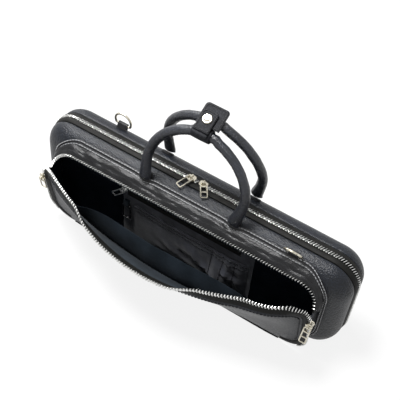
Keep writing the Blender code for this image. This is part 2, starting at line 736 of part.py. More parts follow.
def make_piping():
    """Raised piping over the base seam, laid along the shell's surface."""
    base = base_outline()
    loops = []
    marks = [m for m in base.stations(0.0, base.length, POCKET_HALF / 4)]
    for along in marks:
        x, z, nx, nz = base.at(along)
        out = PIPING + GAP
        x, z = x + nx * PIPING_SET, z + nz * PIPING_SET
        y = -face_depth(x, z)
        ahead_z = z + nz * PIPING
        ahead_x = x + nx * PIPING
        slope = -face_depth(ahead_x, ahead_z) - y
        size = math.hypot(PIPING, slope)
        lift_y, lift_n = -PIPING / size, slope / size
        centre = Vector((x + nx * lift_n * out, y + lift_y * out, z + nz * lift_n * out))
        loop = []
        for k in range(6):
            turn = 2 * math.pi * k / 6
            loop.append(centre + Vector((nx * math.cos(turn) * PIPING, math.sin(turn) * PIPING,
                                         nz * math.cos(turn) * PIPING)))
        loops.append(loop)
    stacked("pocket_piping", loops, "leather_edge", spine_axis())


def make_pocket_lining():
    """Lining of the pocket's back wall, the inner zip and the organiser."""
    inset = PIPING * 2
    flat_top = CASE_HEIGHT - BAND_CROWN - SHOULDER
    half_x = POCKET_HALF - GUSSET_THICK * 3
    low = POCKET_FOOT + GUSSET_THICK + FOOT_RADIUS / 2
    wall = SHELL_DEPTH + GAP
    radius = POCKET_CORNER - inset
    loops = [[(x, -y, z) for x, z in rounded_loop(half_x, low, flat_top, radius)]
             for y in (wall, wall + LINING_THIN)]
    stacked("pocket_lining", loops, "lining", spine_axis())
    wall += LINING_THIN + GAP
    tape = rounded_loop(INNER_ZIP_HALF, INNER_ZIP_AT - INNER_TAPE, INNER_ZIP_AT + INNER_TAPE, INNER_TAPE / 4)
    stacked("inner_zip_tape", [[(x, -y, z) for x, z in tape] for y in (wall, wall + LINING_THIN)],
            "zip_tape", spine_axis())
    spans = 4 * PEN_SLOTS
    pens = ORGANISER_RIGHT - PEN_SLOT_WIDE * PEN_SLOTS
    columns = [ORGANISER_LEFT + (pens - ORGANISER_LEFT) * k / 4 for k in range(4)]
    columns += [pens + PEN_SLOT_WIDE * PEN_SLOTS * k / spans for k in range(spans + 1)]
    low = POCKET_FOOT + GUSSET_THICK + FOOT_RADIUS
    loops = []
    for k, x in enumerate(columns):
        along = (x - ORGANISER_LEFT) / (ORGANISER_RIGHT - ORGANISER_LEFT)
        fullness = min(along / BULGE_AT_SHARE, (1.0 - along) / (1.0 - BULGE_AT_SHARE))
        puff = ORGANISER_SET * (math.sin(math.pi / 4 * (k - 4)) ** 2 if k > 4 else 0.0)
        y_low = -(wall + puff)
        y_top = y_low - ORGANISER_BULGE * fullness
        loops.append([(x, y_low, low), (x, y_low - LINING_THIN, low), (x, y_top - LINING_THIN, ORGANISER_TOP),
                      (x, y_top, ORGANISER_TOP)])
    stacked("organiser_pocket", loops, "lining", spine_axis(), facets=True)


def make_slip_pocket():
    """Loose slip pocket hung inside the front panel, joined to it at its two ends."""
    loops = []
    spans = 10
    for k in range(spans + 1):
        x = -SLIP_HALF + 2 * SLIP_HALF * k / spans
        share = SLIP_LEAN_SHARE + (1 - SLIP_LEAN_SHARE) * abs(x / SLIP_HALF) ** 6
        set_in = PANEL_THICK / 2 + GAP + LINING_THIN / 2
        low, high = FOOT_RADIUS / 2, SLIP_TOP
        loops.append([on_panel(x, up, -set_in + lift, share)
                      for up, lift in ((low, LINING_THIN / 2), (high, LINING_THIN / 2),
                                       (high, -LINING_THIN / 2), (low, -LINING_THIN / 2))])
    stacked("slip_pocket", loops, "lining", panel_axis(), facets=True)


def handle_foot(side):
    """Hinge point (y, z) of a handle's feet."""
    z, ny, nz = shoulder_point(HANDLE_SEAT)
    out = GAP + TAB_THICK + GAP + KNUCKLE
    return Vector((0.0, side * (HANDLE_SEAT + ny * out), z + nz * out))


def handle_top(side):
    """Centre of a handle's tube at the grip. The back one is longer, so that the grip slopes."""
    foot = handle_foot(-1)
    top = foot + Vector((0.0, HANDLE_IN, math.sqrt(HANDLE_RISE ** 2 - HANDLE_IN ** 2)))
    if side > 0:
        top += Vector((0.0, math.cos(GRIP_TILT), math.sin(GRIP_TILT))) * HANDLES_APART
    return top


def handle_line(rise):
    """Centre line (x, v) of a handle in its own plane: straight feet, then a wide arch."""
    shoulder_v = rise * STRAIGHT_SHARE
    points = []
    for k in range(6):
        share = k / 5
        points.append((-HANDLE_HALF - HANDLE_BOW * math.sin(math.pi / 2 * share), shoulder_v * share))
    half = HANDLE_HALF + HANDLE_BOW
    steps = 14
    for k in range(1, steps):
        turn = math.pi * k / steps
        x = -half * math.copysign(abs(math.cos(turn)) ** ARCH_SHARE, math.cos(turn))
        if k == steps // 2:
            points += [(-GRIP_FLAT, rise), (GRIP_FLAT, rise)]
        else:
            points.append((x, shoulder_v + (rise - shoulder_v) * math.sin(turn) ** ARCH_SHARE))
    return points + [(-x, v) for x, v in reversed(points[:6])]


def make_handle(name, side):
    """Rolled leather handle with flared feet that end in knuckles on the hinge line."""
    foot = handle_foot(side)
    reach = handle_top(side) - foot
    line = handle_line(reach.length)
    up = reach.normalized()
    across = Vector((0.0, up.z, -up.y))
    loops = []

    def ring(x, v, heading, wide, deep):
        centre = foot + Vector((x, 0.0, 0.0)) + up * v
        flat = Vector((math.cos(heading), 0.0, 0.0)) + up * math.sin(heading)
        return [centre + flat * wide * math.cos(2 * math.pi * i / ROUND_STEPS)
                + across * deep * math.sin(2 * math.pi * i / ROUND_STEPS) for i in range(ROUND_STEPS)]

    for share in DOME_SHARES:
        deep = KNUCKLE * math.sqrt(1 - share ** 2)
        loops.append(ring(line[0][0], -KNUCKLE * share, 0.0, TUBE_BASE, deep))
    for k, (x, v) in enumerate(line):
        before = line[max(k - 1, 0)]
        after = line[min(k + 1, len(line) - 1)]
        heading = math.atan2(after[1] - before[1], after[0] - before[0]) - math.pi / 2
        if k in (0, len(line) - 1):
            heading = 0.0 if k == 0 else -math.pi
        from_end = min(k, len(line) - 1 - k)
        flare = max(1.0 - from_end / 3, 0.0)
        wide = TUBE + (TUBE_BASE - TUBE) * flare
        deep = TUBE + (KNUCKLE - TUBE) * flare
        loops.append(ring(x, v, heading, wide, deep))
    for share in reversed(DOME_SHARES):
        deep = KNUCKLE * math.sqrt(1 - share ** 2)
        loops.append(ring(line[-1][0], -KNUCKLE * share, -math.pi, TUBE_BASE, deep))
    stacked(name, loops, "leather", foot)


def make_handle_tabs(name, side):
    """Leather patches sewn to the shoulder under each handle foot."""
    z, ny, nz = shoulder_point(HANDLE_SEAT)
    tangent = Vector((0.0, side * nz, -ny))
    normal = Vector((0.0, side * ny, nz))
    for word, end in (("left", -1), ("right", 1)):
        loops = []
        for share, taper in TAB_SHARES:
            centre = Vector((end * HANDLE_HALF + share * TAB_LONG, side * HANDLE_SEAT, z))
            loop = []
            for lift in (GAP, GAP + TAB_THICK):
                arc = []
                for t in (-TAB_HIGH * taper, 0.0, TAB_LOW * taper):
                    drop = SHOULDER - math.sqrt(SHOULDER ** 2 - t ** 2)
                    arc.append((t, lift - drop))
                if lift > GAP:
                    arc.reverse()
                loop += [centre + tangent * t + normal * n for t, n in arc]
            loops.append(loop)
        stacked("%s_%s" % (name, word), loops, "leather", spine_axis() if side < 0 else None)


def sleeve(centre, along, normal, wide, steps=14):
    """Leather sleeve round a tube, as a ring of loops."""
    inner = TUBE + GAP
    outer = inner + GRIP_THICK
    loops = []
    for k in range(steps):
        turn = 2 * math.pi * k / steps
        reach = 1.0 / math.cos(math.pi / steps)
        arm = (along * math.cos(turn) + normal * math.sin(turn)) * reach
        loops.append([centre + arm * size + Vector((x, 0.0, 0.0))
                      for size, x in ((inner, -wide / 2), (outer, -wide / 2), (outer, wide / 2),
                                      (inner, wide / 2))])
    return loops


def plate(centre, along, normal, wide, first, last, low, high, corner):
    """Flat leather plate with rounded far corners, as two loops."""
    steps = 3
    outline = [(-wide / 2, first), (wide / 2, first)]
    for side in (1, -1):
        for k in range(steps + 1):
            turn = math.pi / 2 * (k / steps if side > 0 else 1 - k / steps)
            outline.append((side * (wide / 2 - corner + corner * math.cos(turn)),
                            last - corner + corner * math.sin(turn)))
    return [[centre + Vector((x, 0.0, 0.0)) + along * s + normal * n for x, s in outline]
            for n in (low, high)]


def disc(centre, normal, radius, low, high, crown=0.0, steps=16):
    """Round disc about a normal, domed by crown."""
    side = Vector((1.0, 0.0, 0.0))
    up = normal.cross(side)
    sizes = [(low, 1.0), (high - crown, 1.0)]
    if crown:
        sizes += [(high - crown + crown * rise, share) for rise, share in CROWN_SHARES]
    return [[centre + normal * n + (side * math.cos(2 * math.pi * i / steps)
                                    + up * math.sin(2 * math.pi * i / steps)) * radius * share
             for i in range(steps)] for n, share in sizes]


def make_grip():
    """Snap grip: a sleeve and flap on the front handle, a saddle on the back one."""
    along = Vector((0.0, math.cos(GRIP_TILT), math.sin(GRIP_TILT)))
    normal = Vector((0.0, -math.sin(GRIP_TILT), math.cos(GRIP_TILT)))
    centre = handle_top(-1)
    back = handle_top(1)
    low = TUBE + 2 * GAP
    high = TUBE + GAP + GRIP_THICK
    stud_low = high + GAP
    flap_low = stud_low + STUD_TALL + GAP
    flap_high = flap_low + GRIP_THICK
    root_at = -GRIP_ROOT * 2
    roll = centre + along * root_at + normal * (flap_high - GRIP_ROOT)
    body = stacked("grip_sleeve", sleeve(centre, along, normal, GRIP_WIDE), "leather",
                   handle_foot(-1), ring=True)
    join(body, bar(FLAP_WIDE, GRIP_ROOT, roll), "grip_root")
    saddle = stacked("grip_saddle", sleeve(back, along, normal, GRIP_WIDE), "leather",
                     handle_foot(1), ring=True)
    join(saddle, plate(centre, along, normal, GRIP_WIDE, TUBE + GAP, SADDLE_END, low, high, TUBE / 2),
         "saddle_wing")
    snap = centre + along * HANDLES_APART * SNAP_AT_SHARE
    stacked("snap_stud", disc(snap, normal, STUD_RADIUS, stud_low, stud_low + STUD_TALL), "hardware",
            handle_foot(1))
    near = root_at + GRIP_ROOT + GAP
    pivot = centre + along * (near - FLAP_SWING_ROOM) + normal * flap_high
    loops = plate(centre, along, normal, FLAP_WIDE, near, FLAP_LONG, flap_low, flap_high, TUBE / 2)
    stacked("grip_flap", loops, "leather", pivot)
    cap_low = flap_high + GAP
    stacked("snap_cap", disc(snap, normal, SNAP_RADIUS, cap_low, cap_low + SNAP_TALL, SNAP_TALL / 2),
            "hardware", pivot)


def round_wire(points, radius, steps, closed):
    """Loops of a round wire along points."""
    loops = []
    count = len(points)
    for k, point in enumerate(points):
        before = points[(k - 1) % count] if closed or k else points[k]
        after = points[(k + 1) % count] if closed or k < count - 1 else points[k]
        ahead = (after - before).normalized()
        helper = Vector((0.0, 1.0, 0.0)) if abs(ahead.y) < 0.9 else Vector((0.0, 0.0, 1.0))
        side = ahead.cross(helper).normalized()
        up = ahead.cross(side)
        loops.append([point + (side * math.cos(2 * math.pi * i / steps)
                               + up * math.sin(2 * math.pi * i / steps)) * radius for i in range(steps)])
    return loops


def make_ring(name, side, place, plumb):
    """D ring on a folded leather tab sewn to the shoulder. It stands plumb, or square to the shell."""
    at_x, seat_y, stalk = place
    z, ny, nz = shoulder_point(seat_y)
    normal = Vector((0.0, side * ny, nz))
    tangent = Vector((0.0, side * nz, -ny))
    pivot = Vector((at_x, side * seat_y, z)) + normal * stalk
    inner = RING_WIRE + GAP
    outer = inner + TAB_THICK
    steps = 6
    rings = []
    for size in (outer, inner):
        rim = [(-size, GAP - stalk)]
        rim += [(-size * math.cos(math.pi * k / steps), size * math.sin(math.pi * k / steps))
                for k in range(steps + 1)]
        rings.append(rim + [(size, GAP - stalk)])
    loops = []
    for (ot, on), (it, inn) in zip(*rings):
        loops.append([pivot + tangent * t + normal * n + Vector((x, 0.0, 0.0))
                      for t, n, x in ((ot, on, -RING_TAB / 2), (ot, on, RING_TAB / 2),
                                      (it, inn, RING_TAB / 2), (it, inn, -RING_TAB / 2))])
    stacked(name + "_tab", loops, "leather", spine_axis() if side < 0 else None)
    direction = Vector((0.0, 0.0, 1.0)) if plumb else normal
    begin = math.asin(-RING_RISE / RING_RADIUS)
    arc = 16
    points = []
    for k in range(arc + 1):
        turn = begin + (math.pi - 2 * begin) * k / arc
        points.append(pivot + Vector((RING_RADIUS * math.cos(turn), 0.0, 0.0))
                      + direction * (RING_RISE + RING_RADIUS * math.sin(turn)))
    chord = math.sqrt(RING_RADIUS ** 2 - RING_RISE ** 2)
    for share in (-0.5, 0.0, 0.5):
        points.append(pivot + Vector((chord * share, 0.0, 0.0)))
    stacked(name, round_wire(points, RING_WIRE, 6, True), "hardware", pivot, ring=True)


def box(centre, axes, lows, highs):
    """Two loops of a box, from ranges along three directions."""
    one, two, three = axes
    corners = ((lows[1], lows[2]), (highs[1], lows[2]), (highs[1], highs[2]), (lows[1], highs[2]))
    return [[centre + one * a + two * b + three * c for b, c in corners] for a in (lows[0], highs[0])]


def bail(foot, arch, out):
    """Square arch over the slider's plate. arch is the way it runs; the crossbar passes under it."""
    across = out.cross(arch)
    half = BAIL_WIDE / 2
    buried = SLIDER_PLATE / 2
    loops = []
    for reach, rise in ((half, -buried), (half, BAIL_TALL), (-half, BAIL_TALL), (-half, -buried)):
        near = reach - math.copysign(BAIL_THICK, reach)
        low = rise - BAIL_THICK if rise > 0.0 else rise
        loops.append([foot + arch * r + across * c + out * n for r, c, n in
                      ((reach, -BAIL_DEEP / 2, rise), (reach, BAIL_DEEP / 2, rise),
                       (near, BAIL_DEEP / 2, low), (near, -BAIL_DEEP / 2, low))])
    return loops


def make_slider(name, centre, ahead, out, arch):
    """Zip slider: two plates round the tape, a neck between them, lips and a bail. Gives the pull's pivot."""
    side = out.cross(ahead)
    room = SLIDER_ROOM / 2
    top = room + SLIDER_PLATE
    outline = SLIDER_SHARES + tuple((a, -s) for a, s in reversed(SLIDER_SHARES))
    plates = [[[centre + ahead * a * SLIDER_LONG + side * s * SLIDER_WIDE + out * n for a, s in outline]
               for n in (low, high)] for low, high in ((room, top), (-top, -room))]
    body = stacked(name, plates[0], "hardware", centre)
    join(body, plates[1], name + "_underplate")
    axes = (ahead, side, out)
    overlap = SLIDER_PLATE / 2
    neck = SLIDER_PLATE * NECK_THIN_SHARE
    join(body, box(centre, axes, (SLIDER_LONG * NECK_NEAR_SHARE, -neck, -room - overlap),
                   (SLIDER_LONG * NECK_FAR_SHARE, neck, room + overlap)), name + "_neck")
    lip = SLIDER_WIDE * LIP_AT_SHARE
    for sign in (-1, 1):
        ends = sorted((sign * lip, sign * (lip - SLIDER_LIP)))
        join(body, box(centre, axes, (-SLIDER_LONG * LIP_BACK_SHARE, ends[0], room - SLIDER_LIP),
                       (SLIDER_LONG * NECK_NEAR_SHARE, ends[1], room + overlap)), "%s_lip_%d" % (name, sign))
    join(body, bail(centre + out * top, arch, out), name + "_bail")
    return centre + out * (top + PIVOT_RISE)


def make_small_slider(name, centre, ahead, out, arch):
    """Slider of a lightweight zip, riding on top of the tape."""
    side = out.cross(ahead)
    outline = SMALL_SLIDER_SHARES + tuple((a, -s) for a, s in reversed(SMALL_SLIDER_SHARES))
    loops = [[centre + ahead * a * SLIDER_LONG + side * s * SLIDER_WIDE + out * n for a, s in outline]
             for n in (0.0, SLIDER_PLATE)]
    body = stacked(name, loops, "dark_metal", centre)
    join(body, bail(centre + out * SLIDER_PLATE, arch, out), name + "_bail")
    return centre + out * (SLIDER_PLATE + PIVOT_RISE)


def make_pull(name, pivot, down, axis, panes, finish="hardware", long=PULL_LONG, wide=PULL_WIDE):
    """Windowed pull plate. Its first bar runs under the bail on the hinge line."""
    down = down.normalized()
    axis = axis.normalized()
    face = axis.cross(down)
    made = bmesh.new()
    half = PULL_THICK / 2
    outer = wide / 2
    inner = outer - PULL_RIM
    lengths = [PULL_THICK, PULL_EYE]
    pane = (long - PULL_THICK - PULL_EYE - PULL_RIM * (panes + 1)) / panes
    for _ in range(panes):
        lengths += [PULL_RIM, pane]
    lengths.append(PULL_RIM)
    marks = [-half]
    for length in lengths:
        marks.append(marks[-1] + length)
    verts = {}

    def vert(a, b, n):
        key = (round(a, 7), round(b, 7), n > 0)
        if key not in verts:
            verts[key] = made.verts.new(pivot + down * a + axis * b + face * n)
        return verts[key]

    last = len(marks) - 2
    for k in range(last + 1):
        low, high = marks[k], marks[k + 1]
        edge_low = outer - PULL_CORNER if k == 0 else outer
        edge_high = outer - PULL_CORNER if k == last else outer
        for n in (-half, half):
            if k % 2:
                for sign in (-1, 1):
                    made.faces.new([vert(low, sign * inner, n), vert(low, sign * outer, n),
                                    vert(high, sign * outer, n), vert(high, sign * inner, n)])
            else:
                made.faces.new([vert(low, -edge_low, n), vert(low, -inner, n), vert(low, inner, n),
                                vert(low, edge_low, n), vert(high, edge_high, n), vert(high, inner, n),
                                vert(high, -inner, n), vert(high, -edge_high, n)])
        for sign in (-1, 1):
            made.faces.new([vert(low, sign * edge_low, -half), vert(high, sign * edge_high, -half),
                            vert(high, sign * edge_high, half), vert(low, sign * edge_low, half)])
        if k % 2:
            for sign in (-1, 1):
                made.faces.new([vert(low, sign * inner, -half), vert(high, sign * inner, -half),
                                vert(high, sign * inner, half), vert(low, sign * inner, half)])
            for a in (low, high):
                made.faces.new([vert(a, -inner, -half), vert(a, inner, -half),
                                vert(a, inner, half), vert(a, -inner, half)])
    for a in (marks[0], marks[-1]):
        across = (PULL_CORNER - outer, -inner, inner, outer - PULL_CORNER)
        for first, second in zip(across, across[1:]):
            made.faces.new([vert(a, first, -half), vert(a, second, -half),
                            vert(a, second, half), vert(a, first, half)])
    add_object(name, made, finish, pivot)


def make_main_sliders():
    """The two main sliders meet nose to nose on top; their pulls lie over the front shell."""
    out = Vector((0.0, 0.0, 1.0))
    across = Vector((0.0, 1.0, 0.0))
    z = CASE_HEIGHT - SLIDER_DROP
    for word, at_x, ahead, turn, panes in (("left", MAIN_LEFT_AT, 1, LEFT_PULL_TURN, 1),
                                           ("right", MAIN_RIGHT_AT, -1, RIGHT_PULL_TURN, 2)):
        pivot = make_slider("main_slider_" + word, Vector((at_x, 0.0, z)), Vector((ahead, 0.0, 0.0)),
                            out, across)
        level = Vector((-math.sin(turn), -math.cos(turn), 0.0))
        down = level * math.cos(PULL_SLOPE) - out * math.sin(PULL_SLOPE)
        make_pull("main_pull_" + word, pivot, down, level.cross(out), panes)


def make_pocket_sliders():
    """Sliders low on the panel's two ends, with hanging pulls."""
    angle = lean(POCKET_HALF)
    up = Vector((0.0, -math.sin(angle), math.cos(angle)))
    out = Vector((0.0, -math.cos(angle), -math.sin(angle)))
    for word, side, swing, panes in (("left", -1, angle, 1), ("right", 1, -POCKET_PULL_OUT, 2)):
        centre = Vector(on_panel(side * POCKET_HALF, SLIDER_HEIGHT))
        pivot = make_slider("pocket_slider_" + word, centre, up, out, up)
        down = Vector((0.0, math.sin(swing), -math.cos(swing)))
        make_pull("pocket_pull_" + word, pivot, down, Vector((1.0, 0.0, 0.0)), panes)


def make_inner_slider():
    """Slider and pull of the inner zip."""
    y = -(SHELL_DEPTH + GAP + LINING_THIN + GAP + LINING_THIN + GAP)
    out = Vector((0.0, -1.0, 0.0))
    down = Vector((-math.sin(INNER_PULL_TURN), 0.0, -math.cos(INNER_PULL_TURN)))
    centre = Vector((INNER_SLIDER_AT, y, INNER_ZIP_AT))
    pivot = make_small_slider("inner_slider", centre, Vector((-1.0, 0.0, 0.0)), out, down)
    make_pull("inner_pull", pivot, down, down.cross(out), 1, "dark_metal", INNER_PULL_LONG, INNER_PULL_WIDE)


def make_key_clip():
    """Strap on the pocket's back wall with a hanging clip for keys."""
    wall = SHELL_DEPTH + GAP + LINING_THIN + GAP
    inner = CLIP_WIRE + GAP
    outer = inner + LINING_THIN
    pivot = Vector((CLIP_AT, -(wall + outer), CLIP_TOP))
    steps = 6
    loops = []
    rings = []
    for size in (outer, inner):
        rim = [(size, STRAP_LONG)]
        rim += [(size * math.cos(math.pi * k / steps), -size * math.sin(math.pi * k / steps))
                for k in range(steps + 1)]
        rings.append(rim + [(-size, STRAP_LONG)])
    for (oy, oz), (iy, iz) in zip(*rings):
        loops.append([pivot + Vector((x, y, z)) for x, y, z in
                      ((-STRAP_WIDE / 2, oy, oz), (STRAP_WIDE / 2, oy, oz),
                       (STRAP_WIDE / 2, iy, iz), (-STRAP_WIDE / 2, iy, iz))])
    stacked("key_strap", loops, "lining", spine_axis())
    corner = CLIP_WIDE / 8
    points = [pivot + Vector((x, 0.0, z)) for x, z in
              rounded_loop(CLIP_WIDE / 2, -CLIP_LONG, 0.0, corner, 3)]
    stacked("key_clip", round_wire(points, CLIP_WIRE, 6, True), "clip", pivot, ring=True)


bpy.context.preferences.edit.use_global_undo = False
for old in list(bpy.data.objects):
    bpy.data.objects.remove(old, do_unlink=True)

make_shells()
make_zip_bands()
make_main_teeth()
make_insert()
make_lid_lining()
make_front_panel()
make_front_band()
make_pocket_teeth()
make_gusset()
make_side_folds()
make_piping()
make_pocket_lining()
make_slip_pocket()
for handle, side in (("front_handle", -1), ("back_handle", 1)):
    make_handle(handle, side)
    make_handle_tabs(handle + "_tab", side)
make_grip()
make_ring("back_ring", 1, BACK_RING, True)
make_ring("front_ring", -1, FRONT_RING, False)
make_main_sliders()
make_pocket_sliders()
make_inner_slider()
make_key_clip()
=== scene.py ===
from math import asin, atan2, copysign, cos, exp, hypot, pi, radians, sin, sqrt, tau

import bmesh
import bpy
from mathutils import Matrix, Vector, noise


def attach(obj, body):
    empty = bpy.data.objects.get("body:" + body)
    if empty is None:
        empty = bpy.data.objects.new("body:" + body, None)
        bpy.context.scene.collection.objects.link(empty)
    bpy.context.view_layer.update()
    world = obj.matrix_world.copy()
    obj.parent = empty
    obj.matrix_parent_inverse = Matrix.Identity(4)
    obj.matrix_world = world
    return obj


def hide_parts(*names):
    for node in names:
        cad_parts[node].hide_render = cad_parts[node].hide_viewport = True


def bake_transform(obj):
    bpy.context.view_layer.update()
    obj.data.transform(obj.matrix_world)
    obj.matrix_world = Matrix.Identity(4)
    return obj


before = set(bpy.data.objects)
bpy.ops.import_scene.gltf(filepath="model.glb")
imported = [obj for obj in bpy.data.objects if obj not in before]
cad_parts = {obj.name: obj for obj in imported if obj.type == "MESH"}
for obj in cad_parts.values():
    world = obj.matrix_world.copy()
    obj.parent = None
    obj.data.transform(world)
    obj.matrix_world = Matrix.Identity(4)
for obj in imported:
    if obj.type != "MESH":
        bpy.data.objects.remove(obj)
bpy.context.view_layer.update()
print("frame loaded,", len(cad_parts), "nodes")

# Sizes in metres, as the frame has them. X runs along the case, Z is up, the pocket faces -Y.
gap = 0.0003  # between pieces that touch
case = {"half": 0.215, "high": 0.1385, "corner": 0.0365, "crown": 0.0016, "depth": 0.032,
        "shoulder": 0.022, "foot": 0.014, "rim": 0.0095}
pocket = {"half": 0.188, "low": 0.006, "high": 0.129, "corner": 0.033, "deep": 0.050, "tall": 0.1155,
          "thick": 0.0018, "band": 0.0085, "row": 0.0012, "leanEnds": radians(8.5), "leanMore": radians(28.2),
          "leanSpan": 0.180, "slider": 0.080, "sliderLong": 0.0105, "curlDeep": 0.0121,
          "mouthHigh": 0.120, "mouthOut": 0.042, "mouthHalf": 0.1855, "mouthCorner": 0.030}
wallFace = case["depth"] + gap + 0.0011  # face of the pocket's back lining

# How the soft front has given way along X: its upper corners flop out, its padding swells under the
# seam, and the parted zip tape curls out (or in, where negative).
flop = ((-0.182, 0.0), (-0.150, 0.0025), (-0.110, 0.0010), (0.105, 0.0), (0.150, 0.0070), (0.186, 0.0))
swell = ((-0.180, 0.0), (-0.140, 0.0020), (-0.090, 0.0010), (0.040, 0.0015), (0.100, 0.0035),
         (0.160, 0.0035), (0.182, 0.0))
curl = ((-0.180, 0.0), (-0.150, -0.0030), (-0.115, -0.0030), (-0.085, 0.0030), (-0.060, 0.0040),
        (0.030, 0.0040), (0.070, -0.0040), (0.160, -0.0040), (0.180, 0.0))
swellBelow = ((0.0, 0.0), (0.012, 1.0), (0.070, 0.0))


def evenly(low, high, count):
    # both ends and the places between them, so many steps in all
    return [low + (high - low) * k / count for k in range(count + 1)]


def alongX(x):
    return Vector((x, 0, 0))


def eased(at, stops):
    # value along (place, value) stops, eased from one to the next
    for (low, first), (high, last) in zip(stops, stops[1:]):
        if at <= high:
            part = max((at - low) / (high - low), 0)
            return first + (last - first) * (0.5 - 0.5 * cos(pi * part))
    return stops[-1][1]


def onPanel(x, up, lift=0.0, share=1.0):
    # a point on the pocket's leaning front, lifted off it towards the viewer
    angle = pocket["leanEnds"] + pocket["leanMore"] * cos(pi / 2 * min(abs(x) / pocket["leanSpan"], 1))
    angle *= share
    if share == 1.0:
        below = max(pocket["tall"] - up, 0)
        lift += eased(x, flop) * (up / pocket["tall"]) ** 2 + eased(x, swell) * eased(below, swellBelow)
        lift += eased(x, curl) * max(1 - below / pocket["curlDeep"], 0) ** 1.5
    return Vector((x, -pocket["deep"] - up * sin(angle) - lift * cos(angle),
                   pocket["low"] + up * cos(angle) - lift * sin(angle)))


def rolled(turn, reach):
    # height of a quarter circle at a distance from its middle
    return sqrt(max(turn ** 2 - reach ** 2, 0))


def faceDepth(x, z):
    # distance from the parting plane to a shell's outside at (x, z)
    turn, foot, depth = case["shoulder"], case["foot"], case["depth"]
    halfX, high, corner = (case[k] - case["crown"] for k in ("half", "high", "corner"))
    pastX, pastZ = abs(x) - (halfX - corner), z - (high - corner)
    inside = corner - hypot(pastX, pastZ) if pastX > 0 and pastZ > 0 else min(halfX - abs(x), high - z)
    found = depth
    if inside < turn:
        found = depth - turn + rolled(turn, turn - inside)
    if z < foot:
        found = min(found, depth - foot + rolled(foot, foot - z))
    return found


def shoulderPoint(side, seat):
    # place on the top shoulder at a distance from the parting plane, its normal and its way down
    turn = case["shoulder"]
    reach = seat - (case["depth"] - turn)
    rise = sqrt(turn ** 2 - reach ** 2)
    ny, nz = reach / turn, rise / turn
    return (Vector((0, side * seat, case["high"] - case["crown"] - turn + rise)),
            Vector((0, side * ny, nz)), Vector((0, side * nz, -ny)))


class RoundedFrame:
    # a rounded frame walked from its bottom left, over the top, to its bottom right
    def __init__(self, halfX, low, high, radius):
        self.radius = radius
        self.quarter = pi / 2 * radius
        self.span = 2 * (halfX - radius)
        rise = high - low - 2 * radius
        self.start = (radius - halfX, low)
        self.runs = [self.quarter, rise, self.quarter, self.span, self.quarter, rise, self.quarter]
        self.length = sum(self.runs)
        self.topStart = 2 * self.quarter + rise

    def at(self, along):
        # place and outward direction at a distance along it
        x, z = self.start
        heading = pi
        for i, run in enumerate(self.runs):
            step = min(along, run) if i < 6 else along
            if i % 2 == 0:
                middleX, middleZ = x + self.radius * sin(heading), z - self.radius * cos(heading)
                heading -= step / self.radius
                x, z = middleX - self.radius * sin(heading), middleZ + self.radius * cos(heading)
            else:
                x += step * cos(heading)
                z += step * sin(heading)
            along -= step
            if along <= 0:
                break
        return x, z, -sin(heading), cos(heading)


caseFrame = RoundedFrame(case["half"], 0, case["high"], case["corner"])
panelFrame = RoundedFrame(pocket["half"], 0, pocket["tall"], pocket["corner"])
baseFrame = RoundedFrame(pocket["half"], pocket["low"], pocket["high"], pocket["corner"])
mouthFrame = RoundedFrame(pocket["mouthHalf"], pocket["low"], pocket["mouthHigh"], pocket["mouthCorner"])


def toLinear(code):
    # an sRGB hex colour as linear red, green, blue and alpha
    parts = [int(code[i:i + 2], 16) / 255 for i in (1, 3, 5)]
    return [v / 12.92 if v <= 0.04045 else ((v + 0.055) / 1.055) ** 2.4 for v in parts] + [1.0]


def addNode(tree, kind, settings=(), links=(), give=0):
    # adds a node and gives one output. Names with a small initial are the node's own, the rest its
    # sockets, and "stops" are the (place, colour) pairs of a ramp
    node = tree.nodes.new("ShaderNode" + kind)
    for key, value in dict(settings).items():
        if key == "stops":
            for mark, (place, code) in zip(node.color_ramp.elements, value):
                mark.position = place
                mark.color = toLinear(code)
        elif isinstance(key, str) and key[0].islower():
            setattr(node, key, value)
        else:
            node.inputs[key].default_value = value
    for key, socket in dict(links).items():
        tree.links.new(socket, node.inputs[key])
    return node.outputs[give]


def newFinish(name, settings):
    made = bpy.data.materials.new(name)
    made.use_nodes = True
    shader = made.node_tree.nodes["Principled BSDF"]
    for key, value in settings.items():
        shader.inputs[key].default_value = value
    return made, made.node_tree, shader


def scaled(tree, millimetres, stretch=(1, 1, 1)):
    # object coordinates counted in steps of so many millimetres
    return addNode(tree, "Mapping", {"Scale": [s * 1000 / millimetres for s in stretch]},
                   {"Vector": addNode(tree, "TexCoord", give="Object")})


ridge = 0.314  # wave scale that gives one ridge to a step


def pattern(tree, kind, millimetres, settings, give=0, stretch=(1, 1, 1)):
    # a texture in steps of so many millimetres
    return addNode(tree, kind, {"Scale": 1.0, **settings},
                   {"Vector": scaled(tree, millimetres, stretch)}, give)


def dress(tree, shader, look=None, tint=None, roughness=None, relief=None):
    # gives the shader a tint (value, where dark, where light) or a ready colour, a roughness (value, at 0,
    # at 1) and a relief (height, strength, size)
    if isinstance(tint, tuple):
        value, low, high = tint
        tint = addNode(tree, "ValToRGB", {"stops": ((low, look["dark"]), (high, look["light"]))}, {0: value})
    if roughness:
        value, low, high = roughness
        roughness = addNode(tree, "MapRange", {"To Min": low, "To Max": high}, {"Value": value})
    if relief:
        height, strength, size = relief
        relief = addNode(tree, "Bump", {"Strength": strength, "Distance": size}, {"Height": height})
    for word, socket in (("Base Color", tint), ("Roughness", roughness), ("Normal", relief)):
        if socket:
            tree.links.new(socket, shader.inputs[word])


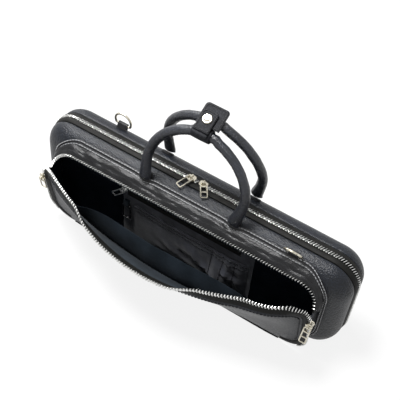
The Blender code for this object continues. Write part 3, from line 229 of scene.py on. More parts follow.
def pressedLeather(name, look):
    # Split leather with a pressed polyurethane face: pebbles that catch small glints, satin, a little
    # shinier where hands and edges have rubbed it. Its colour has painted shade in the creases between the
    # pebbles, and random lighter and darker patches.
    made, tree, shader = newFinish(name, {"IOR": 1.5, "Specular IOR Level": look["gloss"]})
    grain, dark, light = look["grain"], look["dark"], look["light"]
    wobble = pattern(tree, "TexNoise", grain * 2.2, {"Detail": 2.0}, "Color")
    bent = addNode(tree, "VectorMath", {"operation": "MULTIPLY_ADD", 1: (0.9, 0.9, 0.9)},
                   {0: wobble, 2: scaled(tree, grain)})
    cells = addNode(tree, "TexVoronoi", {"feature": "SMOOTH_F1", "Scale": 1.0, "Smoothness": 0.35},
                    {"Vector": bent})
    patches = pattern(tree, "TexNoise", 38, {"Detail": 2.0})
    # colour: the pebbles' tops lighter and the creases between them darker, painted shade, mixed with random
    # tone patches
    toneAndCreaseShade = addNode(tree, "Mix", {"data_type": "RGBA", "Factor": 0.3},
                    {6: addNode(tree, "ValToRGB", {"stops": ((0.12, light), (0.55, dark))}, {0: cells}),
                     7: addNode(tree, "ValToRGB", {"stops": ((0.3, dark), (0.75, light))}, {0: patches})}, 2)
    rubbed = addNode(tree, "Math", {"operation": "MULTIPLY_ADD", 1: 0.5}, {0: patches, 2: cells})
    pores = pattern(tree, "TexNoise", grain / 4, {"Detail": 3.0})
    domes = addNode(tree, "MapRange", {"To Min": 1.0, "To Max": 0.0}, {"Value": cells})
    height = addNode(tree, "Math", {"operation": "MULTIPLY_ADD", 1: 0.25}, {0: pores, 2: domes})
    dress(tree, shader, look, toneAndCreaseShade, (rubbed, *look["roughness"]), (height, look["depth"], grain * 0.0003))
    return made


def coatedTape(name, look):
    # Polyester zip tape with a smooth rubbery coating: flat and dull, the fine ribs of the weave just show.
    made, tree, shader = newFinish(name, {"IOR": 1.49, "Specular IOR Level": 0.12})
    patches = pattern(tree, "TexNoise", 9, {"Detail": 3.0})
    ribs = pattern(tree, "TexWave", look["rib"] / 2,
                   {"bands_direction": "X", "Scale": ridge, "Distortion": 0.4}, 1)
    dress(tree, shader, look, (patches, 0.3, 0.7), (patches, *look["roughness"]), (ribs, 0.3, 0.00008))
    return made


def platedMetal(name, look):
    # Zinc die casting, tumbled and plated: mirror glints, with faint swirls and duller rubbed patches.
    made, tree, shader = newFinish(name, {"Metallic": 1.0})
    patches = pattern(tree, "TexNoise", 2.5, {"Detail": 4.0})
    scratches = pattern(tree, "TexNoise", 0.35, {"Detail": 2.0}, stretch=(1, 0.25, 1))
    dress(tree, shader, look, (patches, 0.3, 0.65), (patches, *look["roughness"]), (scratches, 0.12, 0.00003))
    return made


def wovenCloth(name, look):
    # Nylon lining cloth in plain weave: dark, with a soft sheen on its folds and fine crossing threads.
    made, tree, shader = newFinish(name, {"IOR": 1.53, "Sheen Weight": look["sheen"],
                                          "Sheen Roughness": 0.45, "Specular IOR Level": look["gloss"]})
    threads = {i: pattern(tree, "TexWave", look["thread"] / 2,
                          {"bands_direction": way, "Scale": ridge, "Distortion": 0.6}, 1)
               for i, way in enumerate(("X", "DIAGONAL"))}
    weave = addNode(tree, "Math", {"operation": "MULTIPLY"}, threads)
    patches = pattern(tree, "TexNoise", 24, {"Detail": 3.0})
    dress(tree, shader, look, (patches, 0.3, 0.72), (weave, 0.75, 0.6), (weave, 0.35, 0.0001))
    return made


def shortPlush(name, look):
    # Brushed polyester pile over foam: no gloss, a pale bloom at glancing angles, mottled by the nap.
    made, tree, shader = newFinish(name, {"Roughness": 0.95, "Sheen Weight": 0.7, "Sheen Roughness": 0.35,
                                          "Specular IOR Level": 0.1})
    nap = pattern(tree, "TexNoise", 14, {"Detail": 5.0})
    pile = pattern(tree, "TexNoise", 0.5, {"Detail": 2.0})
    dress(tree, shader, look, (nap, 0.3, 0.7), relief=(pile, 0.5, 0.0003))
    return made


def twistedThread(name, look):
    # Bonded nylon thread: a waxy glint along each stitch, with painted shade in the grooves of its twist.
    made, tree, shader = newFinish(name, {"IOR": 1.53, "Roughness": 0.40,
                                          "Specular IOR Level": look["gloss"]})
    # stripes along the twist: painted shade in its grooves
    twistGrooveShade = pattern(tree, "TexWave", 0.2, {"bands_direction": "DIAGONAL", "Scale": ridge}, 1)
    dress(tree, shader, look, (twistGrooveShade, 0.0, 1.0))
    return made


def mouldedPlastic(name, look):
    # Injection moulded acetal: glossy black with faint flow marks.
    made, tree, shader = newFinish(name, {"IOR": 1.48})
    flow = pattern(tree, "TexNoise", 5, {"Detail": 2.0})
    dress(tree, shader, look, (flow, 0.3, 0.7), (flow, 0.18, 0.32))
    return made


looks = {
    # the pebbles are drawn about twice as coarse as real ones, so that they show at this size
    "shell": {"light": "#181f2b", "dark": "#04060b", "grain": 1.7, "depth": 1.0, "gloss": 0.34,
              "roughness": (0.24, 0.44)},
    "handle": {"light": "#292d39", "dark": "#04060b", "grain": 1.9, "depth": 1.0, "gloss": 0.60,
               "roughness": (0.20, 0.36)},
    "grip": {"light": "#34353a", "dark": "#17181b", "grain": 1.6, "depth": 0.5, "gloss": 0.16,
             "roughness": (0.55, 0.70)},
    "trim": {"light": "#15161a", "dark": "#050506", "grain": 1.6, "depth": 0.6, "gloss": 0.34,
             "roughness": (0.24, 0.42)},
    "tape": {"light": "#191917", "dark": "#121211", "rib": 0.9, "roughness": (0.60, 0.48)},
    "teeth": {"light": "#ececea", "dark": "#acacaa", "roughness": (0.34, 0.22)},
    "pale": {"light": "#dcd7c8", "dark": "#aaa494", "roughness": (0.26, 0.14)},
    # black nickel drawn near white: painted highlight, so that the inner slider and pull show bright in the
    # pocket's shade
    "dark": {"light": "#f2f2f0", "dark": "#c6c6c6", "roughness": (0.50, 0.36)},
    "cloth": {"light": "#12161d", "dark": "#070a0f", "thread": 0.9, "sheen": 0.0, "gloss": 0.03},
    "organiser": {"light": "#474951", "dark": "#25272d", "thread": 0.9, "sheen": 0.3, "gloss": 0.25},
    "slip": {"light": "#272f37", "dark": "#171e24", "thread": 0.9, "sheen": 0.05, "gloss": 0.08},
    "plush": {"light": "#1d1d21", "dark": "#101013"},
    # grey thread: a dark thread painted light grey, a painted highlight, so that its rows read as light lines
    "thread": {"light": "#adaeb1", "dark": "#77787b", "gloss": 0.6},
    "blackThread": {"light": "#26262a", "dark": "#111113", "gloss": 0.1},
    "clip": {"light": "#141415", "dark": "#0c0c0d"},
}
shellLeather = pressedLeather("pressed leather, pebbled", looks["shell"])
handleLeather = pressedLeather("pressed leather, rolled handle", looks["handle"])
gripLeather = pressedLeather("pressed leather, grip", looks["grip"])
trimLeather = pressedLeather("pressed leather, smooth trim", looks["trim"])
zipTape = coatedTape("coated polyester tape", looks["tape"])
zipMetal = platedMetal("aluminium teeth, polished", looks["teeth"])
paleMetal = platedMetal("zinc, pale gold plate", looks["pale"])
# near-white colour: painted highlight on black nickel
blackNickelPaintedBright = platedMetal("zinc, black nickel plate, painted near white", looks["dark"])
liningCloth = wovenCloth("nylon lining, plain weave", looks["cloth"])
slipCloth = wovenCloth("nylon lining, slip pocket", looks["slip"])
organiserCloth = wovenCloth("nylon lining, brushed organiser", looks["organiser"])
plush = shortPlush("brushed polyester plush", looks["plush"])
# the grey thread's colour is a painted highlight on dark thread
thread = twistedThread("bonded nylon thread, dark, painted grey for its highlights", looks["thread"])
blackThread = twistedThread("bonded nylon thread, black", looks["blackThread"])
clipPlastic = mouldedPlastic("acetal, moulded", looks["clip"])
print("finishes made")


class Heap:
    # gathers lofted forms into one piece
    def __init__(self):
        self.verts = []
        self.faces = []
        self.marks = []

    def loft(self, loops, ring=False, lined=False, mark=0):
        # skins loops of as many points. Where lined, the second half of each loop takes the other finish
        first, count, rows = len(self.verts), len(loops[0]), len(loops)
        self.verts += [tuple(p) for loop in loops for p in loop]
        for k in range(rows if ring else rows - 1):
            a, b = first + k * count, first + (k + 1) % rows * count
            for i in range(count):
                j = (i + 1) % count
                self.faces.append((a + i, a + j, b + j, b + i))
                self.marks.append(1 if lined and count // 2 <= i < count - 1 else mark)
        if not ring:
            self.faces.append(tuple(range(first + count - 1, first - 1, -1)))
            self.faces.append(tuple(range(first + (rows - 1) * count, first + rows * count)))
            self.marks += [mark, mark]

    def tube(self, points, radius, sides=10, closed=False, mark=0):
        # a round tube along points. radius is a number or one for each point
        count = len(points)
        radii = radius if isinstance(radius, (list, tuple)) else [radius] * count
        loops = []
        side = None
        for k, point in enumerate(points):
            before = points[k - 1] if closed or k else point
            after = points[(k + 1) % count] if closed or k < count - 1 else point
            ahead = (after - before).normalized()
            if side is None:
                side = ahead.cross(Vector((0, 1, 0) if abs(ahead.y) < 0.8 else (0, 0, 1))).normalized()
            side = (side - ahead * side.dot(ahead)).normalized()
            loops.append(circle(point, side, ahead.cross(side), radii[k], sides))
        self.loft(loops, ring=closed, mark=mark)

    def make(self, name, finish, body=None, node=None, slot=None, inner=None, sharp=40):
        mesh = bpy.data.meshes.new(name)
        mesh.from_pydata(self.verts, [], self.faces)
        work = bmesh.new()
        work.from_mesh(mesh)
        for face, mark in zip(work.faces, self.marks):
            face.material_index = mark
        bmesh.ops.recalc_face_normals(work, faces=work.faces)
        work.to_mesh(mesh)
        work.free()
        mesh.materials.append(finish)
        if inner:
            mesh.materials.append(inner)
        mesh.shade_smooth()
        mesh.set_sharp_from_angle(angle=radians(sharp))
        made = bpy.data.objects.new(name, mesh)
        bpy.context.scene.collection.objects.link(made)
        if body:
            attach(made, body)
        if node:
            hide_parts(node)
        return made


def circle(centre, side, up, radius, sides):
    return [centre + (side * cos(tau * i / sides) + up * sin(tau * i / sides)) * radius for i in range(sides)]


def ripple(point, millimetres, amount, seed=0.0):
    # smooth bumps of a size, from -amount to amount
    return noise.noise(Vector(point) * (1000 / millimetres) + Vector((seed, seed * 1.7, 0))) * 2 * amount


# thread and stitches are drawn a little coarser than real ones, so that they show at this size
stitching = {"pitch": 0.0040, "finePitch": 0.0026, "long": 0.0035, "wide": 0.00058, "proud": 0.00026,
             "shape": ((-0.5, 0.35, 1.2), (-0.38, 0.85, 0.3), (0.0, 1.0, 0.0), (0.38, 0.85, 0.3),
                       (0.5, 0.35, 1.2))}  # along a stitch, its width there and how far it sinks


def sew(name, finish, body, rows, pitch="pitch", closed=False):
    # lock stitches along rows of points and their normals, each stitch sunk at its ends
    heap = Heap()
    for points, normals in rows:
        points, normals = ([Vector(p) for p in some] for some in (points, normals))
        if closed:
            points.append(points[0])
            normals.append(normals[0])
        sums = [0.0]
        for a, b in zip(points, points[1:]):
            sums.append(sums[-1] + (b - a).length)
        count = max(1, int(sums[-1] / stitching[pitch]))
        for k in range(count):
            loops = []
            for share, size, sink in stitching["shape"]:
                along = (k + 0.5) * sums[-1] / count + share * stitching["long"]
                i = 0
                while i < len(points) - 2 and sums[i + 1] < along:
                    i += 1
                part = (along - sums[i]) / max(sums[i + 1] - sums[i], 1e-9)
                up = normals[i].lerp(normals[min(i + 1, len(normals) - 1)], part).normalized()
                side = (points[i + 1] - points[i]).normalized().cross(up).normalized()
                centre = points[i].lerp(points[i + 1], part)
                centre += up * (stitching["proud"] - sink * stitching["wide"])
                loops.append(circle(centre, side, up, stitching["wide"] * size, 6))
            heap.loft(loops)
    return heap.make(name, finish, body)


def roundedRing(halfX, low, high, radius, cornerSteps=12, longSteps=30, tallSteps=8):
    # (x, z) points round a rounded rectangle
    radius = max(radius, 0.0004)
    corners = ((halfX - radius, low + radius, -pi / 2), (halfX - radius, high - radius, 0.0),
               (radius - halfX, high - radius, pi / 2), (radius - halfX, low + radius, pi))
    ring = []
    for i, (x, z, start) in enumerate(corners):
        ring += [(x + radius * cos(turn), z + radius * sin(turn))
                 for turn in evenly(start, start + pi / 2, cornerSteps)]
        nextX, nextZ, nextStart = corners[(i + 1) % 4]
        goalX, goalZ = nextX + radius * cos(nextStart), nextZ + radius * sin(nextStart)
        endX, endZ = ring[-1]
        steps = tallSteps if i % 2 == 0 else longSteps
        ring += [(endX + (goalX - endX) * k / steps, endZ + (goalZ - endZ) * k / steps)
                 for k in range(1, steps)]
    return ring


def skin(loops, *piece, inner=None, sharp=40):
    # a piece of one lofted form
    heap = Heap()
    heap.loft(loops, lined=inner is not None)
    return heap.make(*piece, inner=inner, sharp=sharp)


def sheet(outer, inner):
    # a loop out along one face and back along the other
    return outer + inner[::-1]


shells = {"wall": 0.003, "edgeRound": 0.0011, "softness": 0.00035, "steps": 16}


def makeShell(name, side, body, node):
    # moulded half of the case: a padded leather skin with a turned rim
    half, high, corner = (case[k] - case["crown"] for k in ("half", "high", "corner"))
    rim, depth, turn = case["rim"], case["depth"], case["shoulder"]

    def ringAt(y, extra, soft=0):
        drawn, lift = (extra + t - rolled(t, max(y - depth + t, 0)) for t in (turn, case["foot"]))
        loop = []
        for x, z in roundedRing(half - drawn, lift, high - drawn, corner - drawn):
            out = Vector((x, 0, z - high / 2)).normalized()
            push = ripple((x, y, z), 30, shells["softness"] * soft, side) if z > 0.008 else 0.0
            loop.append(Vector((x, side * y, z)) + out * push)
        return loop

    loops = [ringAt(y, shells["wall"]) for y in (0.020, 0.014, rim + 0.0006)]
    loops += [ringAt(rim + y, shells["edgeRound"] * share)
              for y, share in ((0.0001, 1.6), (0.0, 1.0), (0.0003, 0.45), (0.0008, 0.12))]
    for k in range(1, shells["steps"] + 1):
        y = depth - turn + turn * sin(pi / 2 * k / shells["steps"])
        if y > rim + 0.001:
            loops.append(ringAt(y, 0, min(k / 4, 1)))
    face, middle = loops[-1], Vector((0, side * depth, high / 2))
    loops += [[middle.lerp(p, share) for p in face] for share in (0.9, 0.7, 0.45, 0.2)]
    skin(loops, name, shellLeather, body, node, "shell_leather")


bands = {"steps": 150, "section": (
    (0.0020, 0.0009), (0.0024, 0.0003), (0.0036, 0.0001), (0.0060, 0.0005), (0.0082, 0.0011),
    (0.0090, 0.0016), (0.0093, 0.0024), (0.0090, 0.0033), (0.0060, 0.0021), (0.0020, 0.0019))}


def makeZipBand(name, side, body, node):
    # smooth band between the rim and the teeth, crowned and rolled at its edges
    skin([[(x - nx * inset, side * y, z - nz * inset) for y, inset in bands["section"]]
          for x, z, nx, nz in map(caseFrame.at, evenly(0, caseFrame.length, bands["steps"]))],
         name, zipTape, body, node, "zip_tape")


# teeth are drawn a little coarser than the real 2 mm pitch, so that they show at this size
teeth = {"pitch": 0.0032, "comb": 0.0034, "thick": 0.00056, "tall": 0.0017, "mainTall": 0.0014, "slant": 0.50,
         "section": ((-1, -1), (1, -1), (1, 0.7), (0.7, 1), (-0.7, 1), (-1, 0.7)),
         "parted": ((-0.0125, 0.0040, 0.0062), (0.0035, 0.0062, 0.0040))}  # main sliders, room on both sides


def addTooth(heap, place, along, side, back, tip, tall="tall"):
    # one cast tooth: a bar with a chamfered top and a rounded head, from its tape to past the middle
    loops = []
    for across, wide, high in ((back, 0.8, 0.8), (back * 0.55, 1.0, 1.0), (0.0, 1.0, 1.0),
                               (-tip * 0.7, 1.0, 0.95), (-tip, 0.55, 0.7)):
        at = along + across * side * teeth["slant"]
        loops.append([place(at + teeth["thick"] * wide * u, side * across, teeth[tall] * high * v)
                      for u, v in teeth["section"]])
    heap.loft(loops)


def placeMain(along, across, up):
    x, z, nx, nz = caseFrame.at(along)
    return Vector((x + nx * (up - 0.0005), across, z + nz * (up - 0.0005)))


def makeMainTeeth(name, side, body, node):
    # every second tooth of the closed zip, parted under its two sliders
    heap = Heap()
    middle, start = caseFrame.length / 2, caseFrame.quarter * 0.25
    for k in range(int((middle - start) / teeth["pitch"])):
        along = start + (2 * k + (side > 0)) * teeth["pitch"]
        near = any(-before < along - middle - at < after for at, before, after in teeth["parted"])
        addTooth(heap, placeMain, along, side, 0.0026, -0.0006 if near else 0.0023, "mainTall")
    heap.make(name, zipMetal, body, node, "zip_teeth")


for word, side, body in (("back", 1, "case_back"), ("front", -1, "lid")):
    makeShell(word + "ShellLeather", side, body, word + "_shell")
    makeZipBand(word + "ZipBandTape", side, body, word + "_zip_band")
    makeMainTeeth(word + "MainTeeth", side, body, word + "_zip_teeth")
print("shells and main zip made")

panel = {"columns": 56, "rows": 14, "puff": 0.0006, "edge": 0.0007, "wave": 0.0005, "seamIn": 0.0026}
bandEnd = pocket["half"] - pocket["corner"] + 4 * gap


def placePanel(along, across, lift):
    x, up, nx, nup = panelFrame.at(along)
    return onPanel(x - nx * across, up - nup * across, lift)


def cutback(x, halfX, radius):
    # how far a rounded corner has drawn in at x
    past = abs(x) - (halfX - radius)
    return radius - rolled(radius, past) if past > 0 else 0.0


def makePocketFront():
    # padded leather front inside its zip: full in the middle, down at its seams, and lined
    band, thick, rows = pocket["band"], pocket["thick"], panel["rows"]
    halfX, radius = pocket["half"] - band - gap, pocket["corner"] - band
    flat = halfX - radius
    left = [-flat - radius * cos(pi / 2 * k / 12) for k in range(12)] + [gap - bandEnd, 3 * gap - bandEnd]
    loops = []
    for x in sorted(left) + evenly(-flat, flat, panel["columns"]) + sorted(-x for x in left):
        drawn = cutback(x, halfX, radius)
        beside = abs(x) > bandEnd - 2 * gap
        low = band + 4 * gap + drawn if beside else cutback(x, pocket["half"], pocket["corner"])
        high = pocket["tall"] - band - gap - drawn
        side = sin(pi / 2 * max(min(1, (halfX + gap - abs(x)) / 0.012), 0))
        outer, inner = [], []
        for k in range(rows + 1):
            share = sin(pi / 2 * k / rows)
            up = low + (high - low) * share
            wave = ripple((x, 0, up), 55, panel["wave"], 3.0) * sin(pi * share)
            soft = side * sin(pi / 2 * min(1, min(share, 1 - share) / 0.10))
            roll = 0.0008 * exp(-((1 - share) * 100 - 1.6) ** 2 / 2) if share > 0.9 else 0.0
            lift = thick / 2 - panel["edge"] + (panel["edge"] + panel["puff"]) * soft + roll
            outer.append(onPanel(x, up, lift + wave))
            thin = 0.0007 * (1 - min((high - up) / 0.0030, 1))
            inner.append(onPanel(x, up, thin - thick / 2 + wave * 0.5))
        loops.append(sheet(outer, inner))
    skin(loops, "pocketFrontLeather", shellLeather, "pocket_panel", "pocket_front_panel", "shell_leather",
         inner=slipCloth)
    begin, inset = panelFrame.quarter * 0.25, band + panel["seamIn"]
    places = evenly(begin, panelFrame.length - begin, 160)
    points = [placePanel(along, inset, thick / 2 + 0.0007) for along in places]
    sew("pocketFrontStitches", blackThread, "pocket_panel",
        [(points, [p - placePanel(along, inset, 0) for p, along in zip(points, places)])])


def makeComb(name, place, start, end, body, node):
    # a parted row of teeth
    heap = Heap()
    for k in range(int((end - start) / teeth["comb"])):
        addTooth(heap, place, start + (k + 0.5) * teeth["comb"], 1, 0.0020, 0.0013)
    return heap.make(name, zipMetal, body, node, "zip_teeth")


def makePocketZip():
    # coated tape round the leather front, the parted teeth on its edge, the closed chains below the sliders
    near, far = pocket["row"] + gap, pocket["band"] + 0.0002
    section = ((near, 0.0), (near + 0.0004, 0.0007), (near + 0.0030, 0.0010), (far - 0.0008, 0.0009),
               (far, 0.0003), (far, -0.0004), (far + 0.0034, -0.0006), (far + 0.0034, -0.0012),
               (far - 0.0008, -0.0013), (near + 0.0004, -0.0008))
    skin([[placePanel(along, *spot) for spot in section] for along in evenly(0, panelFrame.length, 160)],
         "pocketFrontTape", zipTape, "pocket_panel", "pocket_front_band", "zip_tape")
    clear = pocket["sliderLong"] / 2 + gap
    left = panelFrame.quarter + pocket["slider"] - pocket["corner"]
    first, right, last = panelFrame.quarter / 2, panelFrame.length - left, panelFrame.length
    makeComb("pocketFrontTeeth", placePanel, left + clear, right - clear, "pocket_panel",
             "pocket_front_teeth")
    for word, start, end in (("Left", first, left - clear), ("Right", right + clear, last - first)):
        heap = Heap()
        count = int((end - start) / teeth["pitch"])
        for k in range(count):
            for side, at in ((1, 0.25), (-1, 0.75)):
                addTooth(heap, placePanel, start + (k + at) * (end - start) / count, side, 0.0012, 0.0007)
        heap.make("pocketChain" + word, zipMetal, "pocket_panel", "pocket_chain_" + word.lower(), "zip_teeth")


makePocketFront()
makePocketZip()
print("pocket front made")

gusset = {"thick": 0.0014, "belly": 0.0030, "wrinkle": 0.0017, "steps": 150, "corner": 0.14, "tape": (
    (0.0014, 0.0002), (0.0018, 0.0010), (0.0055, 0.0019), (0.0062, 0.0012), (0.0055, 0.0004),
    (0.0018, -0.0004))}
gussetLow = onPanel(pocket["half"], pocket["slider"] + pocket["sliderLong"] / 2 + 2 * pocket["thick"]).z
baseFirst = baseFrame.quarter + gussetLow - pocket["low"] - pocket["corner"]
mouthFirst = mouthFrame.quarter + gussetLow - pocket["low"] - pocket["mouthCorner"]


def mouthDepth(z):
    # distance from the parting plane to the mouth's back edge
    high, low, out = pocket["mouthHigh"], pocket["low"] + pocket["slider"], pocket["mouthOut"]
    share = min(max((high - z) / (high - low), 0), 1)
    return out - (onPanel(pocket["half"], pocket["slider"]).y + out) * share ** 2


def placeMouth(along, across, lift):
    x, z, nx, nz = mouthFrame.at(along)
    raised = lift - gusset["thick"] / 2
    return Vector((x + nx * raised, across - mouthDepth(z), z + nz * raised))


def gussetAt(shape, first, share):
    # where a share of the gusset falls on its seam or on the mouth's back edge
    corner, rise = gusset["corner"], shape.topStart - first
    if share < corner:
        return shape.at(first + rise * share / corner)
    if share <= 1 - corner:
        return shape.at(shape.topStart + shape.span * (share - corner) / (1 - 2 * corner))
    return shape.at(shape.length - first - rise * (1 - share) / corner)


def blendMouth(made):
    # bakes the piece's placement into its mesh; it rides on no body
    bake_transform(made)


def makeGusset():
    # leather strip between seam and mouth, crushed where it folds, with the back half of the zip
    loops = []
    for share in evenly(0, 1, gusset["steps"]):
        bx, bz, bnx, bnz = gussetAt(baseFrame, baseFirst, share)
        mx, mz = gussetAt(mouthFrame, mouthFirst, share)[:2]
        out = Vector((bnx, 0, bnz))
        seat = Vector((bx, -faceDepth(bx, bz) - gap, bz))
        edge = Vector((mx, 2 * gap + pocket["row"] - mouthDepth(mz), mz))
        outer = []
        for t in evenly(0, 1, 10):
            full = sin(pi * t)
            fold = gusset["belly"] * full - 0.0013 * exp(-((t - 0.62) / 0.07) ** 2)
            fold += 0.0007 * exp(-((t - 0.10) / 0.06) ** 2)
            fold += ripple((bx, t * 0.02, bz), 17, gusset["wrinkle"], 5.0) * full ** 0.7
            fold += ripple((bx, t * 0.02, bz), 7, gusset["wrinkle"] * 0.35, 9.0) * full
            outer.append(seat.lerp(edge, t) + out * fold)
        loops.append(sheet(outer, [p - out * gusset["thick"] for p in outer]))
    blendMouth(skin(loops, "pocketGussetLeather", trimLeather, None, "pocket_gusset", "shell_leather",
                    inner=liningCloth))
    first, last = mouthFirst, mouthFrame.length - mouthFirst
    places = evenly(first, last, gusset["steps"])
    blendMouth(skin([[placeMouth(along, *spot) for spot in gusset["tape"]] for along in places],
                    "pocketBackTape", zipTape, None, None, "zip_tape"))
    blendMouth(makeComb("pocketBackTeeth", placeMouth, first, last, None, "pocket_back_teeth"))
    points = [placeMouth(along, 0.0048, 0.0020) for along in places]
    normals = [(at[2], 0, at[3]) for at in map(mouthFrame.at, places)]
    blendMouth(sew("pocketBackStitches", thread, None, [(points, normals)]))


makeGusset()
print("gusset made")

seam = {"steps": 220, "dip": 0.0012, "rows": ((0.0004, 0.0017), (0.0034, 0.0014)), "section": (
    (-0.0008, 0.0002), (-0.0007, 0.0014), (0.0002, 0.0018), (0.0012, 0.0010), (0.0020, 0.0007),
    (0.0028, 0.0012), (0.0035, 0.0014), (0.0042, 0.0009), (0.0044, 0.0002))}


def seamPoint(along, out, lift):
    # a point over the base seam and its normal, so far outside it along the shell and lifted off it
    x, z, nx, nz = baseFrame.at(along)
    if z > 0.12:  # drawn in beside the handles' feet
        out -= seam["dip"] * sum(exp(-((x - at) / 0.009) ** 2) for at in (-0.061, 0.061))
    x, z = x + nx * out, z + nz * out
    step, y = 0.0004, -faceDepth(x, z)
    slope = -faceDepth(x + nx * step, z + nz * step) - y
    size = hypot(step, slope)
    normal = (nx * slope / size, -step / size, nz * slope / size)
    return Vector([p + n * lift for p, n in zip((x, y, z), normal)]), Vector(normal)


def makeBaseSeam():
    # flat leather binding over the seam, sewn down with two rows
    places = evenly(0, baseFrame.length, seam["steps"])
    skin([[seamPoint(along, *spot)[0] for spot in seam["section"]] for along in places],
         "pocketSeamBinding", trimLeather, "lid", "pocket_piping", "trim_leather")
    sew("pocketSeamStitches", thread, "lid",
        [list(zip(*[seamPoint(along, *spot) for along in places])) for spot in seam["rows"]])


makeBaseSeam()

folds = {"inset": 0.0016, "thick": 0.0012, "pleat": 0.0052, "small": 0.0016, "room": 0.0022,
         "roomFrom": 0.041}


def makeFold(word, side):
    # gathered end of the gusset
    inset = folds["inset"]
    base = RoundedFrame(pocket["half"] - inset, pocket["low"] + inset, pocket["high"], pocket["corner"])
    last = base.quarter + gussetLow - pocket["low"] - inset - pocket["corner"]
    loops = []
    for k, along in enumerate(evenly(0, last, 40)):
        x, z, nx, nz = base.at(along)
        seat = -faceDepth(x, z + inset) - gap
        near = onPanel(x, z - pocket["low"]).y + gap + 0.0015
        near += folds["room"] * min(max(z - folds["roomFrom"], 0) / 0.004, 1)  # for the slider's way down
        outer, inner = [], []
        for t in evenly(0, 1, 10):
            y = seat + (near - seat) * t
            pleat = folds["pleat"] * sin(pi * t) ** 2 * sin(pi * min(k / 40, 0.96))
            pleat += folds["small"] * sin(3 * pi * t) ** 2 * sin(pi * k / 40)
            pleat += ripple((x, y, z), 9, 0.0007, 7.0 + side) * sin(pi * t)
            spot = Vector((-side * (x - nx * pleat), y, z - nz * pleat))
            outer.append(spot)
            inner.append(spot + Vector((side * nx, 0, -nz)) * folds["thick"])
        loops.append(sheet(outer, inner))
    made = skin(loops, "pocketFold" + word, shellLeather, None, "pocket_fold_" + word.lower(),
                "shell_leather", inner=liningCloth)
    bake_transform(made)


floor = {"low": 0.0063, "thick": 0.0015, "edgeLow": 0.0040, "edgeThick": 0.0008, "short": 0.0019,
         "tuck": 0.0010}


def makeFloor():
    # the pocket's floor, whose edge turns under the leather front and dies away at its ends
    half = pocket["half"] - pocket["corner"] - floor["short"]
    near = -pocket["deep"] - pocket["thick"] * 0.6
    thickEdge = -pocket["deep"] + pocket["thick"] / 2 + gap
    loops = []
    for x in evenly(-half, half, 40):
        tuck = floor["tuck"] * max(1 - (half - abs(x)) / 0.016, 0)
        seat = -faceDepth(x, floor["low"]) - gap
        outer, inner = [], []
        for t in evenly(0, 1, 16):
            y = seat + (near - seat) * t
            sag = 0.0007 * sin(pi * t) + ripple((x, y, 0), 16, 0.0003, 2.0)
            low, high = floor["low"] - sag, floor["low"] + floor["thick"] - sag * 0.5
            if y < thickEdge:
                low, high = floor["edgeLow"] + tuck * 1.4, floor["edgeLow"] + floor["edgeThick"] + tuck
            outer.append(Vector((x, y, low)))
            inner.append(Vector((x, y, high)))
        loops.append(sheet(outer, inner))
    skin(loops, "pocketFloorLeather", shellLeather, "lid", "pocket_floor", "shell_leather", inner=liningCloth)


makeFold("Left", -1)
makeFold("Right", 1)
makeFloor()
print("pocket ends and floor made")

lining = {"inset": 0.0048, "raised": 0.0086, "corner": 0.0314, "middle": 0.065, "proud": 0.0006}


def makeWallCloth():
    # cloth on the pocket's back wall
    wall, middle = case["depth"] + gap, lining["middle"]
    ring = roundedRing(pocket["half"] - lining["inset"], pocket["low"] + lining["raised"],
                       case["high"] - case["crown"] - case["shoulder"], lining["corner"])
    loops = [[(x * share, -wall - lining["proud"] - ripple((x * share, 0, z), 26, 0.0003, 4.0),
               middle + (z - middle) * share) for x, z in ring] for share in (0.1, 0.35, 0.6, 0.85, 1.0)]
    loops.append([(x, -wall, z) for x, z in ring])
    skin(loops, "pocketWallCloth", liningCloth, "lid", "pocket_lining", "pocket_cloth")


innerZip = {"at": 0.1045, "half": 0.080, "tape": 0.009, "room": 0.0022, "turn": 0.0016, "coil": 0.0018,
            "wire": 0.0003}
facing = {"left": -0.087, "right": 0.098, "low": 0.0215, "high": 0.1155, "thick": 0.0004}


def makeInnerZip():
    # two tapes with a coil between them, on a facing of brushed cloth
    at, half, tape, room = (innerZip[k] for k in ("at", "half", "tape", "room"))
    loops = []
    for x in evenly(facing["left"], facing["right"], 60):
        outer = []
        for z in evenly(facing["low"], facing["high"], 20):
            flat = min(1, abs(z - at) / 0.006)
            crease = ripple((x + z * 0.5, 0, z), 12, 0.0006, 3.0) + ripple((x, 0, z), 5, 0.0002, 8.0)
            outer.append(Vector((x, 0.0001 - wallFace - max(crease * flat, -0.0002), z)))
        loops.append(sheet(outer, [p + Vector((0, facing["thick"], 0)) for p in outer]))
    skin(loops, "innerPocketFacing", organiserCloth, "lid")
    heap = Heap()
    for low, high in ((-tape, -room), (room, tape)):
        section = ((low, 0.0), (low, 0.0007), (high, 0.0008), (high, 0.0))
        heap.loft([[(x, -wallFace - lift, at + z) for z, lift in section] for x in evenly(-half, half, 20)])
    coil = []
    for k, x in enumerate(evenly(-half, half, int(2 * half / innerZip["turn"]) * 6)):
        turn = tau * k / 6
        coil.append(Vector((x, -wallFace - 0.0007 - 0.0005 * cos(turn), at + innerZip["coil"] * sin(turn))))
    heap.tube(coil, innerZip["wire"], sides=4, mark=1)
    heap.make("innerZipTape", zipTape, "lid", "inner_zip_tape", "zip_tape", clipPlastic)


organiser = {"left": -0.070, "right": 0.092, "low": 0.0216, "high": 0.0830, "pens": 0.048, "pen": 0.016,
             "puff": 0.0016, "droop": 0.0010, "belly": 0.0080, "crease": 0.0034, "thick": 0.0008}
pens = organiser["right"] - organiser["pens"]


